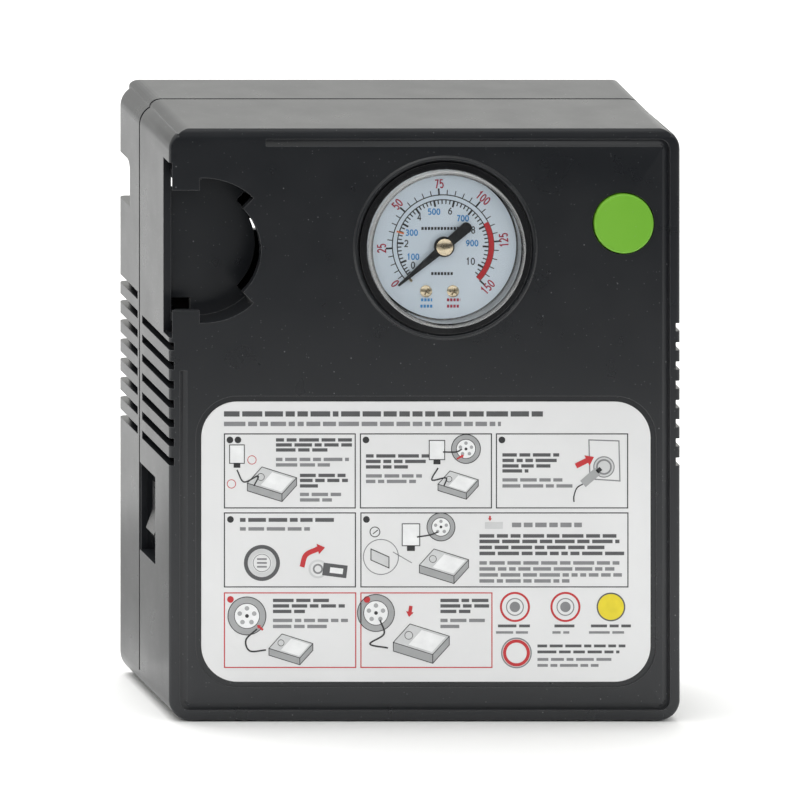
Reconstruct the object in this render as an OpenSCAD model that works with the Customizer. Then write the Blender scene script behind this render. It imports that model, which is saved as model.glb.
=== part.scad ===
// Portable tire inflator: a flat moulded case with a pressure gauge, a deflate
// button, a rocker switch and a bayonet socket for a sealant bottle.  A 12 V motor
// drives a crank gear, connecting rod and piston inside.
// Front faces -Y, +Z is up, the origin is the middle of the bottom face.

/* [Case] */
// Width of the case
case_w = 146; // [140:1:160]
// Height of the case without the raised top
case_h = 167.7; // [162:0.1:180]
// Depth of the case
case_d = 58; // [56:1:66]
// Depth of the front shell, from its face to the parting line
front_d = 34.3; // [32:0.1:36]
// Wall thickness of both shells
wall_t = 2.2; // [1.8:0.1:2.6]
// Corner radius of the case outline
corner_r = 6; // [5:0.5:9]
// Rounding of the front edge
front_edge_r = 3; // [2:0.5:3.5]
// Rounding of the rear edge
rear_edge_r = 2; // [1:0.5:3]
// Height of the raised top
top_pad_h = 1.5; // [0.5:0.1:2.5]
// Distance of the raised top's flat from each side
top_pad_inset = 6.3; // [5:0.1:9]
// Width and depth of the step on each side of the parting line
part_line = 0.5; // [0.2:0.1:0.8]
// Radius of the four screw posts
post_r = 4; // [3.6:0.1:5]
// Distance of the screw posts from the sides
post_inset = 11; // [10:0.5:13]

/* [Front panel] */
// Distance from the case edge to the groove
groove_inset = 3; // [2.8:0.1:4]
// Width of the flat floor of the groove
groove_w = 1; // [0.6:0.1:1.4]
// Depth of the groove
groove_depth = 0.9; // [0.4:0.1:1.1]
// Width of the sloping shoulder inside the groove
shoulder_w = 0.9; // [0.5:0.1:1.2]
// Distance from the case top down to where the groove ends on the left side
groove_end_drop = 67.7; // [60:0.1:88]
// Distance from the left side to where the groove starts along the top
groove_start_inset = 27.6; // [25:0.1:37]
// Width of the instruction label
label_w = 128.3; // [110:0.1:130]
// Height of the instruction label
label_h = 80; // [60:1:84]
// Corner radius of the label
label_r = 10.3; // [4:0.1:14]
// Height of the label's lower edge
label_z = 11.2; // [10:0.1:14]
// Thickness of the label
label_t = 0.3; // [0.1:0.05:0.4]
// Width of the recess border around the label
label_border = 1.6; // [0.5:0.1:2]

/* [Gauge] */
// Place of the gauge centre across the panel
gauge_x = 5.8; // [0:0.1:12]
// Distance of the gauge centre below the case top
gauge_drop = 32.5; // [30:0.1:34]
// Outer radius of the gauge case
gauge_r = 24.5; // [22:0.1:25]
// Depth of the gauge case
gauge_d = 22; // [18:0.5:24]
// Radius of the clear lens
lens_r = 22.5; // [20:0.1:22.8]
// Distance that the lens stands out of the panel
lens_proud = 3; // [1:0.1:4]
// Thickness of the lens
lens_t = 1.3; // [1:0.1:1.8]
// Depth of the dial face behind the panel
dial_sink = 3; // [2.4:0.1:4]
// Length of the pointer from its hub to its tip
pointer_len = 17.2; // [14:0.1:18]
// Radius of the brass pointer hub
hub_r = 2.4; // [1.8:0.1:3]

/* [Deflate button] */
// Distance of the button centre from the right side
button_inset = 16.3; // [15:0.1:23]
// Distance of the button centre below the case top
button_drop = 25.5; // [24:0.1:30]
// Radius of the button
button_r = 8.5; // [7:0.1:9]
// Distance that the button stands out of the panel
button_proud = 1; // [0.5:0.1:2]
// Travel of the button
button_travel = 2.5; // [1.5:0.1:3]

/* [Bottle socket] */
// Distance of the socket centre from the left side
socket_inset = 9.8; // [8:0.1:13]
// Distance of the socket centre below the case top
socket_drop = 33.3; // [31:0.1:35]
// Radius of the socket bore behind its lips
socket_r = 20.7; // [19:0.1:21]
// Radius of the lip that holds the bottle neck
socket_lip_r = 16.4; // [15:0.1:18]
// Half angle of that lip
socket_lip_angle = 46.5; // [30:0.5:60]
// Depth of the socket
socket_depth = 9; // [7:0.5:11]
// Half height between the two lugs at the open side
lug_gap = 17.2; // [15:0.1:18]
// Length of the lugs
lug_len = 6.4; // [4:0.1:8]
// Half height of the cut in the side wall
side_cut = 25; // [22:0.1:26]
// Height of the side wall's rim above the socket floor
socket_rim_h = 2; // [1:0.1:3]

/* [Vents] */
// Number of vent slots in a column
vent_count = 8; // [3:1:8]
// Height of a vent slot
vent_h = 2.3; // [1.6:0.1:3]
// Distance from slot to slot
vent_pitch = 5.49; // [4.4:0.01:5.8]
// Distance of the topmost slot below the case top
vent_drop = 55.2; // [54:0.1:64]
// Distance that the slots wrap onto the front
vent_wrap_front = 2.3; // [1.5:0.1:2.4]
// Distance that the slots wrap onto the back
vent_wrap_rear = 3; // [2:0.1:4]

/* [Switch] */
// Height of the switch centre
switch_z = 53.1; // [50:0.1:56]
// Height of the opening in the side wall
switch_open_h = 25; // [22:0.1:28]
// Depth of the opening, from the parting line forward
switch_open_d = 18.1; // [16:0.1:20]
// Depth of the switch plate behind the side wall
switch_sink = 4; // [3:0.1:5]
// Length of the rocker
rocker_len = 12.6; // [10:0.1:14]
// Width of the rocker
rocker_w = 9; // [7:0.1:10]
// Tilt of the rocker to either side of its middle
rocker_tilt = 10; // [6:0.5:12]

/* [Rear bay] */
// Depth of the storage bay in the back
bay_depth = 14; // [10:0.5:16]
// Distance of the bay from each side of the case
bay_inset = 7; // [6:0.5:11]
// Distance of the bay's upper edge below the case top
bay_drop = 12.7; // [12:0.1:17]
// Height of the bay
bay_h = 43; // [36:0.5:45]
// Distance of the outlet and the cord gland below the bay's upper edge
outlet_drop = 17; // [13:0.5:23]
// Place of the hose outlet across the back
outlet_x = -20; // [-26:0.5:-16]
// Place of the cord gland across the back
gland_x = 32; // [24:0.5:40]
// Radius of the outlet's hose barb
barb_r = 2.6; // [2:0.1:3.2]

/* [Motor] */
// Outer radius of the motor can
motor_r = 18; // [16:0.1:18.5]
// Length of the motor can
motor_len = 53; // [48:0.5:54]
// Place of the motor axis across the case
motor_x = 35; // [33:0.5:38]
// Radius of the motor shaft
shaft_r = 1.6; // [1.2:0.1:2]
// Running clearance of shafts and pins
run_gap = 0.05; // [0.02:0.01:0.09]

/* [Gears] */
// Module of the gear pair
gear_module = 1; // [0.9:0.02:1.04]
// Teeth of the motor pinion
pinion_teeth = 9; // [9:1:10]
// Teeth of the crank gear
gear_teeth = 44; // [40:1:45]
// Face width of the gears
gear_w = 7; // [5:0.5:8]

/* [Compressor] */
// Cylinder bore radius
bore_r = 12; // [10:0.1:13]
// Crank throw, half of the stroke
crank_throw = 5; // [4:0.1:5.4]
// Length of the connecting rod between its centres
rod_len = 36; // [34:0.5:38]
// Thickness of the connecting rod
rod_t = 6; // [4:0.5:6.5]
// Radius of the wrist pin
wrist_r = 2; // [1.5:0.1:2.4]
// Radius of the crank pin
crank_pin_r = 2.5; // [2:0.1:3]
// Width of the square cylinder head
head_w = 34; // [32:0.5:36]
// Number of cooling fins
fin_count = 4; // [3:1:5]
// Thickness of the frame plate
plate_t = 3; // [2:0.5:4]

/* [Air line and wiring] */
// Outer radius of the rubber hoses inside
hose_r = 3; // [2.6:0.1:3.2]
// Bore radius of the hoses
hose_bore_r = 1.7; // [1.4:0.1:1.9]
// Radius of the wires
wire_r = 0.9; // [0.6:0.1:1]

/* [Hidden] */
$fn = 64;
eps = 0.01;

// Case planes
half_w = case_w / 2;
front_y = -case_d / 2;
rear_y = case_d / 2;
split_y = front_y + front_d;
panel_back_y = front_y + wall_t;
back_wall_y = rear_y - wall_t;
top_z = case_h + top_pad_h;
side_in = half_w - wall_t;
post_x = half_w - post_inset;
gauge_z = case_h - gauge_drop;
button_x = half_w - button_inset;
button_z = case_h - button_drop;
socket_x = -half_w + socket_inset;
socket_z = case_h - socket_drop;
vent_top_z = case_h - vent_drop;
groove_end_z = case_h - groove_end_drop;
groove_start_x = -half_w + groove_start_inset;
bay_half_w = half_w - bay_inset;
bay_z1 = case_h - bay_drop;
bay_z0 = bay_z1 - bay_h;
outlet_z = bay_z1 - outlet_drop;
post_z_low = corner_r + wall_t;
post_z_high = case_h - wall_t - post_r - 2;
screw_r = 1.5;
screw_head_r = 2.9;
screw_seat_y = split_y + 6.5;
screw_len = 18;
lip_t = 1;
lip_h = 1.8;
lip_gap = 0.15;

// Foot of the raised top's ends, on the case corners
pad_foot_inset = 2.9;
pad_sink = 0.9;

// Gauge planes
gauge_front_y = front_y - 0.6;
gauge_back_y = front_y + gauge_d;
gauge_wall = 1.2;
gauge_clear = 0.2;
dial_y = front_y + dial_sink;
dial_t = 0.6;
dial_r = lens_r - lens_t - 0.3;
lens_back_y = dial_y + dial_t;
pointer_zero = 220.5;
pointer_y = dial_y - 1.5;
pointer_t = 0.4;
pointer_half_w = 1.3;
tip_half_w = 0.25;
tail_len = 8.3;
tail_r = 1.5;
pointer_shaft_r = 0.8;
stem_y = front_y + 13;
dial_screw_z = gauge_z - 13;
dial_screw_xs = [gauge_x - 4.9, gauge_x + 2.8];
collar_t = 1.6;
bead_r = 0.7;

// Mechanism heights and axes
motor_z0 = wall_t + 9.8;
cap_t = 4;
motor_z1 = motor_z0 + motor_len;
plate_z0 = motor_z1;
plate_z1 = plate_z0 + plate_t;
gear_z0 = plate_z1 + 1;
gear_z1 = gear_z0 + gear_w;
gear_gap = gear_module * (pinion_teeth + gear_teeth) / 2;
crank_x = motor_x - gear_gap;
gear_out_r = gear_module * (gear_teeth / 2 + 0.5);
boss_top_z = gear_z1 + 0.6;
open_pivot_gap = 0.3;
rod_z0 = boss_top_z + open_pivot_gap;
rod_z1 = rod_z0 + rod_t;
bore_z = (rod_z0 + rod_z1) / 2;
pin_x = crank_x - crank_throw;
wrist_x = pin_x - rod_len;
crown_len = 6;
skirt_len = 5;
crown_x = wrist_x - crown_len;
skirt_x = wrist_x + skirt_len;
squish = 0.5;
valve_plate_t = 1;
cyl_x0 = crown_x - squish;
frame_wall_t = 4;
frame_wall_x1 = cyl_x0 + 19;
frame_wall_x0 = frame_wall_x1 - frame_wall_t;
head_t = 6;
head_x1 = cyl_x0 - valve_plate_t;
head_x0 = head_x1 - head_t;
crank_shaft_r = 3;
bush_r = 5.5;
bush_len = 8;
head_screw_off = head_w / 2 - 3.2;
port_r = 1.6;
port_bore_r = 0.8;
port_len = 8;

// Air line
block_w = 20;
block_d = 12;
block_h = 10;
block_z1 = gauge_z - gauge_r - 2.7;
block_z0 = block_z1 - block_h;
port_z = (block_z0 + block_z1) / 2;
head_port_x = (head_x0 + head_x1) / 2;
head_port_z = bore_z + head_w / 2;
valve_y0 = front_y + 13;
button_cap_t = 1.8;
button_boss_r = 2.6;
plunger_r = 1.5;
spring_r = 4.6;
spring_wire_r = 0.4;
spring_turns = 6;
valve_flange_t = 2;
valve_body_len = 11;
guide_r = button_r + 1.7;
guide_t = 1.8;
valve_port_y = valve_y0 + valve_flange_t + 4;
bay_floor_y = rear_y - bay_depth;
bay_back_y = bay_floor_y - wall_t;
barb_step = 1.4;
gland_neck_r = 4;
gland_bore_r = 2.3;

// Switch
pocket_floor_x = -half_w + switch_sink;
switch_y = split_y - switch_open_d / 2;
bezel_t = 1;
bezel_over = 1.6;
pivot_r = 1;
rocker_gap = 0.3;
pivot_x = pocket_floor_x + 1.2;
switch_depth = 11;
terminal_len = 7;

// Reach of the floor openings past the lugs
lug_window = 1.6;

// Label, rear window and side notch
label_mid_x = 0.3;
window_x0 = -half_w + 9;
window_x1 = window_x0 + 28;
window_w = 10;
window_slot_h = 3.2;
window_z0 = outlet_z - 8;
window_z1 = outlet_z + 8;
notch_y = rear_y - 12.6;
notch_z0 = outlet_z - 2.3;
notch_z1 = notch_z0 + 13;

// Pin that stops the pointer at zero, its angle clear of the pointer's edge
stop_reach = 13.5;
stop_x = gauge_x + stop_reach * cos(pointer_zero + 4.3);
stop_z = gauge_z + stop_reach * sin(pointer_zero + 4.3);

// Motor, crank and piston details
can_t = 1.4;
motor_bush_r = 4;
motor_bush_len = 3;
arm_r = motor_r - can_t - 3.4;
backlash = 0.12;
big_eye_r = 6.6;
small_eye_r = wrist_r + 2;
wrist_pin_half = bore_r * 0.75;
piston_r = bore_r - 0.08;
seal_x = crown_x + 0.5;

black_plastic = [0.17, 0.175, 0.18];
brass = [0.8, 0.62, 0.32];
steel = [0.72, 0.73, 0.75];
alu = [0.78, 0.78, 0.79];

// ---- helpers ---------------------------------------------------------------
module along_y(y0, y1) translate([0, y1, 0]) rotate([90, 0, 0]) linear_extrude(y1 - y0) children();
module along_x(x0, x1) translate([x0, 0, 0]) rotate([90, 0, 90]) linear_extrude(x1 - x0) children();
module along_z(z0, z1) translate([0, 0, z0]) linear_extrude(z1 - z0) children();
module rod_y(x, z, r, y0, y1) translate([x, y0, z]) rotate([-90, 0, 0]) cylinder(r = r, h = y1 - y0);
module rod_x(y, z, r, x0, x1) translate([x0, y, z]) rotate([0, 90, 0]) cylinder(r = r, h = x1 - x0);
module rod_z(x, y, r, z0, z1) translate([x, y, z0]) cylinder(r = r, h = z1 - z0);
module box(x0, x1, y0, y1, z0, z1) translate([x0, y0, z0]) cube([x1 - x0, y1 - y0, z1 - z0]);

// Disc of height h with a domed face that rises further, facing -Y from y
module dome_y(x, z, r, y, h, rise) {
    ball = (r * r + rise * rise) / (2 * rise);
    translate([x, y, z]) rotate([90, 0, 0]) rotate_extrude() intersection() {
        square([r, h + rise]);
        translate([0, h + rise - ball]) circle(r = ball, $fn = 96);
    }
}

module round_rect(x0, x1, y0, y1, r) {
    translate([x0 + r, y0]) square([x1 - x0 - 2 * r, y1 - y0]);
    translate([x0, y0 + r]) square([x1 - x0, y1 - y0 - 2 * r]);
    for (x = [x0 + r, x1 - r], y = [y0 + r, y1 - r]) translate([x, y]) circle(r = r);
}

// Half profile of a slab with one rounded end at y = 0
module bull_nose(x0, x1, depth, r) {
    translate([x0 + r, 0]) square([x1 - x0 - 2 * r, depth]);
    translate([x0, r]) square([x1 - x0, depth - r]);
    for (x = [x0 + r, x1 - r]) translate([x, r]) circle(r = r);
}

// Rounded slab: outline corners of radius cr, face edge of radius er at y = 0
module rounded_slab(hw, h, depth, cr, er) {
    translate([0, 0, cr]) linear_extrude(h - 2 * cr) bull_nose(-hw, hw, depth, er);
    translate([-hw + cr, 0, 0]) rotate([90, 0, 90]) linear_extrude(2 * (hw - cr))
        rotate(90) mirror([0, 1]) bull_nose(0, h, depth, er);
    for (x = [-hw + cr, hw - cr], z = [cr, h - cr])
        translate([x, 0, z]) rotate([-90, 0, 0]) rotate_extrude() {
            square([cr - er, depth]);
            translate([0, er]) square([cr, depth - er]);
            intersection() {
                translate([cr - er, er]) circle(r = er);
                square([cr, depth]);
            }
        }
}

// Raised top: a strip along the top with curved ends, rounded at the outer face
module pad_outline() {
    foot_x = half_w - pad_foot_inset;
    run = top_pad_inset - pad_foot_inset;
    rise = top_pad_h + pad_sink;
    ramp = [for (k = [0:6]) [foot_x - run * (1 - cos(15 * k)), case_h - pad_sink + rise * sin(15 * k)]];
    polygon(concat([[-foot_x, case_h - 4]], [for (q = ramp) [-q[0], q[1]]],
        [for (k = [6:-1:0]) ramp[k]], [[foot_x, case_h - 4]]));
}
module top_pad(depth, er) {
    intersection() {
        along_y(-eps, depth) pad_outline();
        translate([-half_w, 0, 0]) rotate([90, 0, 90]) linear_extrude(case_w)
            rotate(90) mirror([0, 1]) bull_nose(0, top_z, depth, er);
    }
}

module case_outer(depth, er) {
    rounded_slab(half_w, case_h, depth, corner_r, er);
    top_pad(depth, er);
}

// Step cut round the case at the parting line, above the foot of the corners
module parting_groove() along_y(split_y - part_line, split_y + part_line) difference() {
    translate([-half_w - 1, corner_r]) square([case_w + 2, top_z + 1 - corner_r]);
    round_rect(-half_w + part_line, half_w - part_line, 0, case_h - part_line, corner_r - part_line);
    translate([0, -part_line]) pad_outline();
}

module case_inner(y0, y1) {
    along_y(y0, y1) {
        round_rect(-side_in, side_in, wall_t, case_h - wall_t, corner_r - wall_t);
        translate([-side_in + 5, case_h / 2]) square([2 * side_in - 10, top_z - wall_t - case_h / 2]);
    }
}

function unit(v) = v / norm(v);
function tangent(p, i) = unit(p[min(i + 1, len(p) - 1)] - p[max(i - 1, 0)]);
function first_normal(t) = unit(cross(t, abs(t[0]) < 0.8 ? [1, 0, 0] : [0, 1, 0]));
function normals(p, i = 0, acc = []) = i == len(p) ? acc :
    let (t = tangent(p, i), prev = i == 0 ? first_normal(t) : acc[i - 1])
    normals(p, i + 1, concat(acc, [unit(prev - t * (prev * t))]));
function catmull(a, b, c, d, t) = 0.5 * (2 * b + (c - a) * t
    + (2 * a - 5 * b + 4 * c - d) * t * t + (3 * b - a - 3 * c + d) * t * t * t);
function smooth_path(p, n) = [for (i = [0:len(p) - 2]) for (k = [0:n - 1])
    catmull(p[max(i - 1, 0)], p[i], p[i + 1], p[min(i + 2, len(p) - 1)], k / n), p[len(p) - 1]];
function rings(p, r, sides) = let (nrm = normals(p)) [for (i = [0:len(p) - 1])
    let (t = tangent(p, i), b = cross(t, nrm[i])) for (k = [0:sides - 1])
    p[i] + r * (cos(360 * k / sides) * nrm[i] + sin(360 * k / sides) * b)];
function wall_faces(m, sides, off, flip) = [for (i = [0:m - 2]) for (k = [0:sides - 1])
    let (a = off + i * sides + k, b = off + i * sides + (k + 1) % sides)
    each flip ? [[a, b, b + sides], [a, b + sides, a + sides]]
              : [[a, b + sides, b], [a, a + sides, b + sides]]];

// Solid tube along a path
module wire(p, r, sides = 8) {
    m = len(p);
    polyhedron(points = rings(p, r, sides), faces = concat(
        [for (k = [1:sides - 2]) [0, k, k + 1]],
        [for (k = [1:sides - 2]) [(m - 1) * sides, (m - 1) * sides + k + 1, (m - 1) * sides + k]],
        wall_faces(m, sides, 0, false)));
}

// Hollow tube along a path
module hose(p, r, bore, sides = 10) {
    m = len(p);
    n = m * sides;
    e = (m - 1) * sides;
    polyhedron(points = concat(rings(p, r, sides), rings(p, bore, sides)), faces = concat(
        wall_faces(m, sides, 0, false), wall_faces(m, sides, n, true),
        [for (k = [0:sides - 1]) let (j = (k + 1) % sides) each
            [[k, j, n + j], [k, n + j, n + k],
             [e + k, n + e + j, e + j], [e + k, n + e + k, n + e + j]]]));
}

// Involute gear outline: teeth, module, tooth thickness at the pitch circle, root, tip
function inv(phi) = tan(phi) - phi * PI / 180;
function flank_angle(r, rp, s) = let (rb = rp * cos(20), phi = r > rb ? acos(rb / r) : 0)
    (s / (2 * rp) + inv(20) - inv(phi)) * 180 / PI;
module gear_outline(teeth, m, s, root, tip) {
    rp = teeth * m / 2;
    rb = rp * cos(20);
    start = max(root, rb);
    radii = concat(root < rb ? [root] : [], [for (k = [0:4]) start + (tip - start) * k / 4]);
    n = len(radii);
    polygon([for (t = [0:teeth - 1]) each concat(
        [for (k = [0:n - 1]) let (a = 360 * t / teeth - flank_angle(radii[k], rp, s))
            radii[k] * [cos(a), sin(a)]],
        [for (k = [n - 1:-1:0]) let (a = 360 * t / teeth + flank_angle(radii[k], rp, s))
            radii[k] * [cos(a), sin(a)]])]);
}

// ---- case ------------------------------------------------------------------
module post_places() for (x = [-post_x, post_x], z = [post_z_low, post_z_high]) translate([x, 0, z]) children();

module vent_slots(first, side, y0, y1, wrap)
    for (i = [first:vent_count - 1]) let (z = vent_top_z - vent_pitch * i)
        box(side > 0 ? half_w - wrap : -half_w - 1, side > 0 ? half_w + 1 : -half_w + wrap,
            y0, y1, z - vent_h / 2, z + vent_h / 2);

// Groove profile swept round the panel: x is the distance in from the case edge
module groove_profile() polygon([[groove_inset, -0.5], [groove_inset, groove_depth],
    [groove_inset + groove_w, groove_depth], [groove_inset + groove_w + shoulder_w, 0],
    [groove_inset + groove_w + shoulder_w, -0.5]]);
module groove_corner(x, z, a) translate([x, front_y, z]) rotate([-90, 0, 0]) rotate([0, 0, a])
    rotate_extrude(angle = 90) mirror([1, 0]) translate([-corner_r, 0]) groove_profile();

module panel_groove() {
    rim_z1 = top_z;
    cx = half_w - corner_r;
    // top run, right run, bottom run, left run
    translate([groove_start_x, front_y, rim_z1]) rotate([90, 90, 90])
        linear_extrude(cx - groove_start_x) groove_profile();
    translate([half_w, front_y, corner_r]) mirror([1, 0, 0]) linear_extrude(rim_z1 - 2 * corner_r) groove_profile();
    translate([-cx, front_y, 0]) rotate([90, -90, 90]) mirror([0, 1])
        linear_extrude(2 * cx) groove_profile();
    translate([-half_w, front_y, corner_r]) linear_extrude(groove_end_z - corner_r) groove_profile();
    groove_corner(cx, rim_z1 - corner_r, -90);
    groove_corner(cx, corner_r, 0);
    groove_corner(-cx, corner_r, 90);
}

module socket_front_2d() {
    intersection() {
        translate([socket_x, socket_z]) circle(r = socket_r);
        difference() {
            translate([-half_w + wall_t + lug_len, 0]) square([60, case_h]);
            // the lip: everything beyond the lip radius inside the lip angle
            difference() {
                translate([socket_x, socket_z]) polygon([[0, 0],
                    40 * [cos(socket_lip_angle), -sin(socket_lip_angle)], [60, 0],
                    40 * [cos(socket_lip_angle), sin(socket_lip_angle)]]);
                translate([socket_x, socket_z]) circle(r = socket_lip_r);
            }
        }
    }
    translate([-half_w + wall_t, socket_z - lug_gap]) square([lug_len + 1, 2 * lug_gap]);
}
module socket_full_2d() intersection() {
    translate([socket_x, socket_z]) circle(r = socket_r);
    translate([-half_w + wall_t, 0]) square([100, case_h]);
}
module socket_cup() intersection() {
    rod_y(socket_x, socket_z, socket_r + wall_t, front_y + wall_t - eps, front_y + socket_depth + wall_t);
    box(-half_w + eps, half_w, front_y, rear_y, 0, case_h);
}
module socket_cuts() {
    floor_y = front_y + socket_depth;
    along_y(front_y - 1, floor_y) socket_front_2d();
    // the side wall is cut down to a rim above the floor
    along_y(front_y - 1, floor_y - socket_rim_h)
        translate([-half_w - 1, socket_z - side_cut]) square([wall_t + 1 + eps, 2 * side_cut]);
    along_y(panel_back_y, floor_y) socket_full_2d();
    // openings in the floor behind the lip and the lugs
    along_y(floor_y - eps, floor_y + wall_t + 1) intersection() {
        socket_full_2d();
        union() {
            difference() {
                translate([socket_x, socket_z]) polygon([[0, 0],
                    40 * [cos(socket_lip_angle), -sin(socket_lip_angle)], [60, 0],
                    40 * [cos(socket_lip_angle), sin(socket_lip_angle)]]);
                translate([socket_x, socket_z]) circle(r = socket_lip_r + 0.4);
            }
            for (s = [-1, 1]) translate([-half_w + wall_t, socket_z + s * (lug_gap + 5 - lug_window / 2) - 5 - lug_window / 2])
                square([lug_len - 0.3, 10 + lug_window]);
        }
    }
}

module motor_cradle(y0, y1) for (z = [motor_z0 + 11, motor_z1 - 14])
    difference() {
        box(motor_x - motor_r - 3, motor_x + motor_r + 3, y0, y1, z, z + 2);
        rod_z(motor_x, 0, motor_r + 0.3, z - 1, z + 3);
    }

module front_shell() color(black_plastic) difference() {
    union() {
        difference() {
            translate([0, front_y, 0]) case_outer(front_d, front_edge_r);
            case_inner(panel_back_y, split_y + 1);
        }
        socket_cup();
        rod_y(button_x, button_z, guide_r + guide_t, panel_back_y - eps, valve_y0);
        rod_y(gauge_x, gauge_z, gauge_r + gauge_clear + collar_t, front_y + eps, panel_back_y + 6);
        translate([gauge_x, front_y + 0.1, gauge_z]) rotate([-90, 0, 0]) rotate_extrude()
            translate([gauge_r + gauge_clear + collar_t - bead_r, 0]) circle(r = bead_r, $fn = 32);
        post_places() rod_y(0, 0, post_r, panel_back_y - eps, split_y);
        motor_cradle(panel_back_y - eps, -motor_r / 2);
        // switch pocket: plate and three walls
        box(pocket_floor_x, pocket_floor_x + 2, split_y - switch_open_d - 2, split_y,
            switch_z - switch_open_h / 2 - 2, switch_z + switch_open_h / 2 + 2);
        for (s = [-1, 1])
            box(-half_w + 1, pocket_floor_x + 1, split_y - switch_open_d - 2, split_y,
                switch_z + s * (switch_open_h / 2 + 1) - 1, switch_z + s * (switch_open_h / 2 + 1) + 1);
        box(-half_w + 1, pocket_floor_x + 1, split_y - switch_open_d - 2, split_y - switch_open_d,
            switch_z - switch_open_h / 2, switch_z + switch_open_h / 2);
    }
    panel_groove();
    parting_groove();
    along_y(front_y - 1, front_y + label_t + 0.1)
        round_rect(label_mid_x - label_w / 2 - label_border, label_mid_x + label_w / 2 + label_border,
            label_z - label_border, label_z + label_h + label_border, label_r + label_border);
    rod_y(gauge_x, gauge_z, gauge_r + gauge_clear, front_y - 2, panel_back_y + 7);
    rod_y(button_x, button_z, button_r + 0.4, front_y - 1, panel_back_y + 1);
    rod_y(button_x, button_z, guide_r, panel_back_y, valve_y0 + 1);
    socket_cuts();
    vent_slots(1, -1, front_y - 1, split_y - 3, vent_wrap_front);
    vent_slots(0, 1, front_y - 1, split_y - 3, vent_wrap_front);
    box(-half_w - 1, pocket_floor_x, split_y - switch_open_d, split_y + 1,
        switch_z - switch_open_h / 2, switch_z + switch_open_h / 2);
    box(pocket_floor_x - 1, pocket_floor_x + 3, switch_y - rocker_w / 2 - 0.9, switch_y + rocker_w / 2 + 0.9,
        switch_z - rocker_len / 2 - 0.9, switch_z + rocker_len / 2 + 0.9);
    post_places() rod_y(0, 0, screw_r - 0.05, split_y - 14, split_y + 1);
}

module rear_shell() color(black_plastic) difference() {
    union() {
        difference() {
            translate([0, rear_y, 0]) mirror([0, 1, 0]) case_outer(case_d - front_d, rear_edge_r);
            case_inner(split_y - 1, back_wall_y);
        }
        // locating lip inside the front shell
        difference() {
            case_ring(split_y - lip_h, split_y + 2);
            box(-half_w, 0, split_y - 5, split_y + 5, switch_z - switch_open_h / 2 - 4, case_h);
        }
        post_places() rod_y(0, 0, post_r + 1, split_y + 0.1, back_wall_y + eps);
        motor_cradle(motor_r / 2, back_wall_y + eps);
        // bay floor and walls
        along_y(bay_back_y, back_wall_y + eps)
            round_rect(-bay_half_w - wall_t, bay_half_w + wall_t, bay_z0 - wall_t, bay_z1 + wall_t, 5 + wall_t);
        // frame of the side notch
        box(-half_w + 1, -bay_half_w, notch_y - wall_t, back_wall_y + eps, notch_z0 - wall_t, notch_z1 + wall_t);
        // rib that closes the switch pocket
        box(-half_w + 1, pocket_floor_x + 1.5, split_y + 0.1, split_y + 2,
            switch_z - switch_open_h / 2 - 2, switch_z + switch_open_h / 2 + 2);
    }
    parting_groove();
    along_y(bay_floor_y, rear_y + 1)
        round_rect(-bay_half_w, bay_half_w, bay_z0, bay_z1, 5);
    // pass-through window for the hose
    along_y(bay_back_y - 1, bay_floor_y + 1) {
        round_rect(window_x0, window_x0 + window_w, window_z0, window_z1, 1.5);
        round_rect(window_x0, window_x1, window_z0, window_z0 + window_slot_h, 1.5);
    }
    // side notch
    along_x(-half_w - 1, -bay_half_w + eps) {
        translate([notch_y, notch_z0]) square([rear_y + 1 - notch_y, notch_z1 - notch_z0 - 3]);
        translate([notch_y + 3, notch_z0]) square([rear_y - 2 - notch_y, notch_z1 - notch_z0]);
        translate([notch_y + 3, notch_z1 - 3]) circle(r = 3);
    }
    rod_y(outlet_x, outlet_z, barb_r + barb_step + run_gap, bay_back_y - 1, bay_floor_y + 1);
    rod_y(gland_x, outlet_z, gland_neck_r + run_gap, bay_back_y - 1, bay_floor_y + 1);
    for (s = [-1, 1]) vent_slots(0, s, split_y + 2, rear_y + 1, vent_wrap_rear);
    post_places() {
        rod_y(0, 0, screw_r + 0.2, split_y - 1, screw_seat_y + 1);
        rod_y(0, 0, screw_head_r + 0.4, screw_seat_y, rear_y + 1);
    }
}

module case_ring(y0, y1) along_y(y0, y1) difference() {
    round_rect(-side_in + lip_gap, side_in - lip_gap, wall_t + lip_gap, case_h - wall_t - lip_gap,
        corner_r - wall_t - lip_gap);
    round_rect(-side_in + lip_gap + lip_t, side_in - lip_gap - lip_t, wall_t + lip_gap + lip_t,
        case_h - wall_t - lip_gap - lip_t, corner_r - wall_t - lip_gap - lip_t);
}

module front_label() color("whitesmoke") along_y(front_y + 0.1, front_y + label_t + 0.1)
    round_rect(label_mid_x - label_w / 2, label_mid_x + label_w / 2, label_z, label_z + label_h, label_r);

module case_screws() color(steel) post_places() difference() {
    union() {
        rod_y(0, 0, screw_r, screw_seat_y - screw_len, screw_seat_y + eps);
        rod_y(0, 0, screw_head_r, screw_seat_y, screw_seat_y + 2);
    }
    for (a = [0, 90]) translate([0, screw_seat_y + 1.5, 0]) rotate([0, a, 0]) cube([0.7, 2, 3.4], center = true);
}

// ---- gauge -----------------------------------------------------------------
module gauge_case() color([0.12, 0.12, 0.12]) difference() {
    rod_y(gauge_x, gauge_z, gauge_r, gauge_front_y, gauge_back_y);
    rod_y(gauge_x, gauge_z, lens_r + 0.05, gauge_front_y - 1, lens_back_y);
    rod_y(gauge_x, gauge_z, gauge_r - gauge_wall - 1.2, lens_back_y - eps, gauge_back_y - gauge_wall);
    rod_z(gauge_x, stem_y, 5, gauge_z - gauge_r - 1, gauge_z - gauge_r / 2);
}

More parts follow.
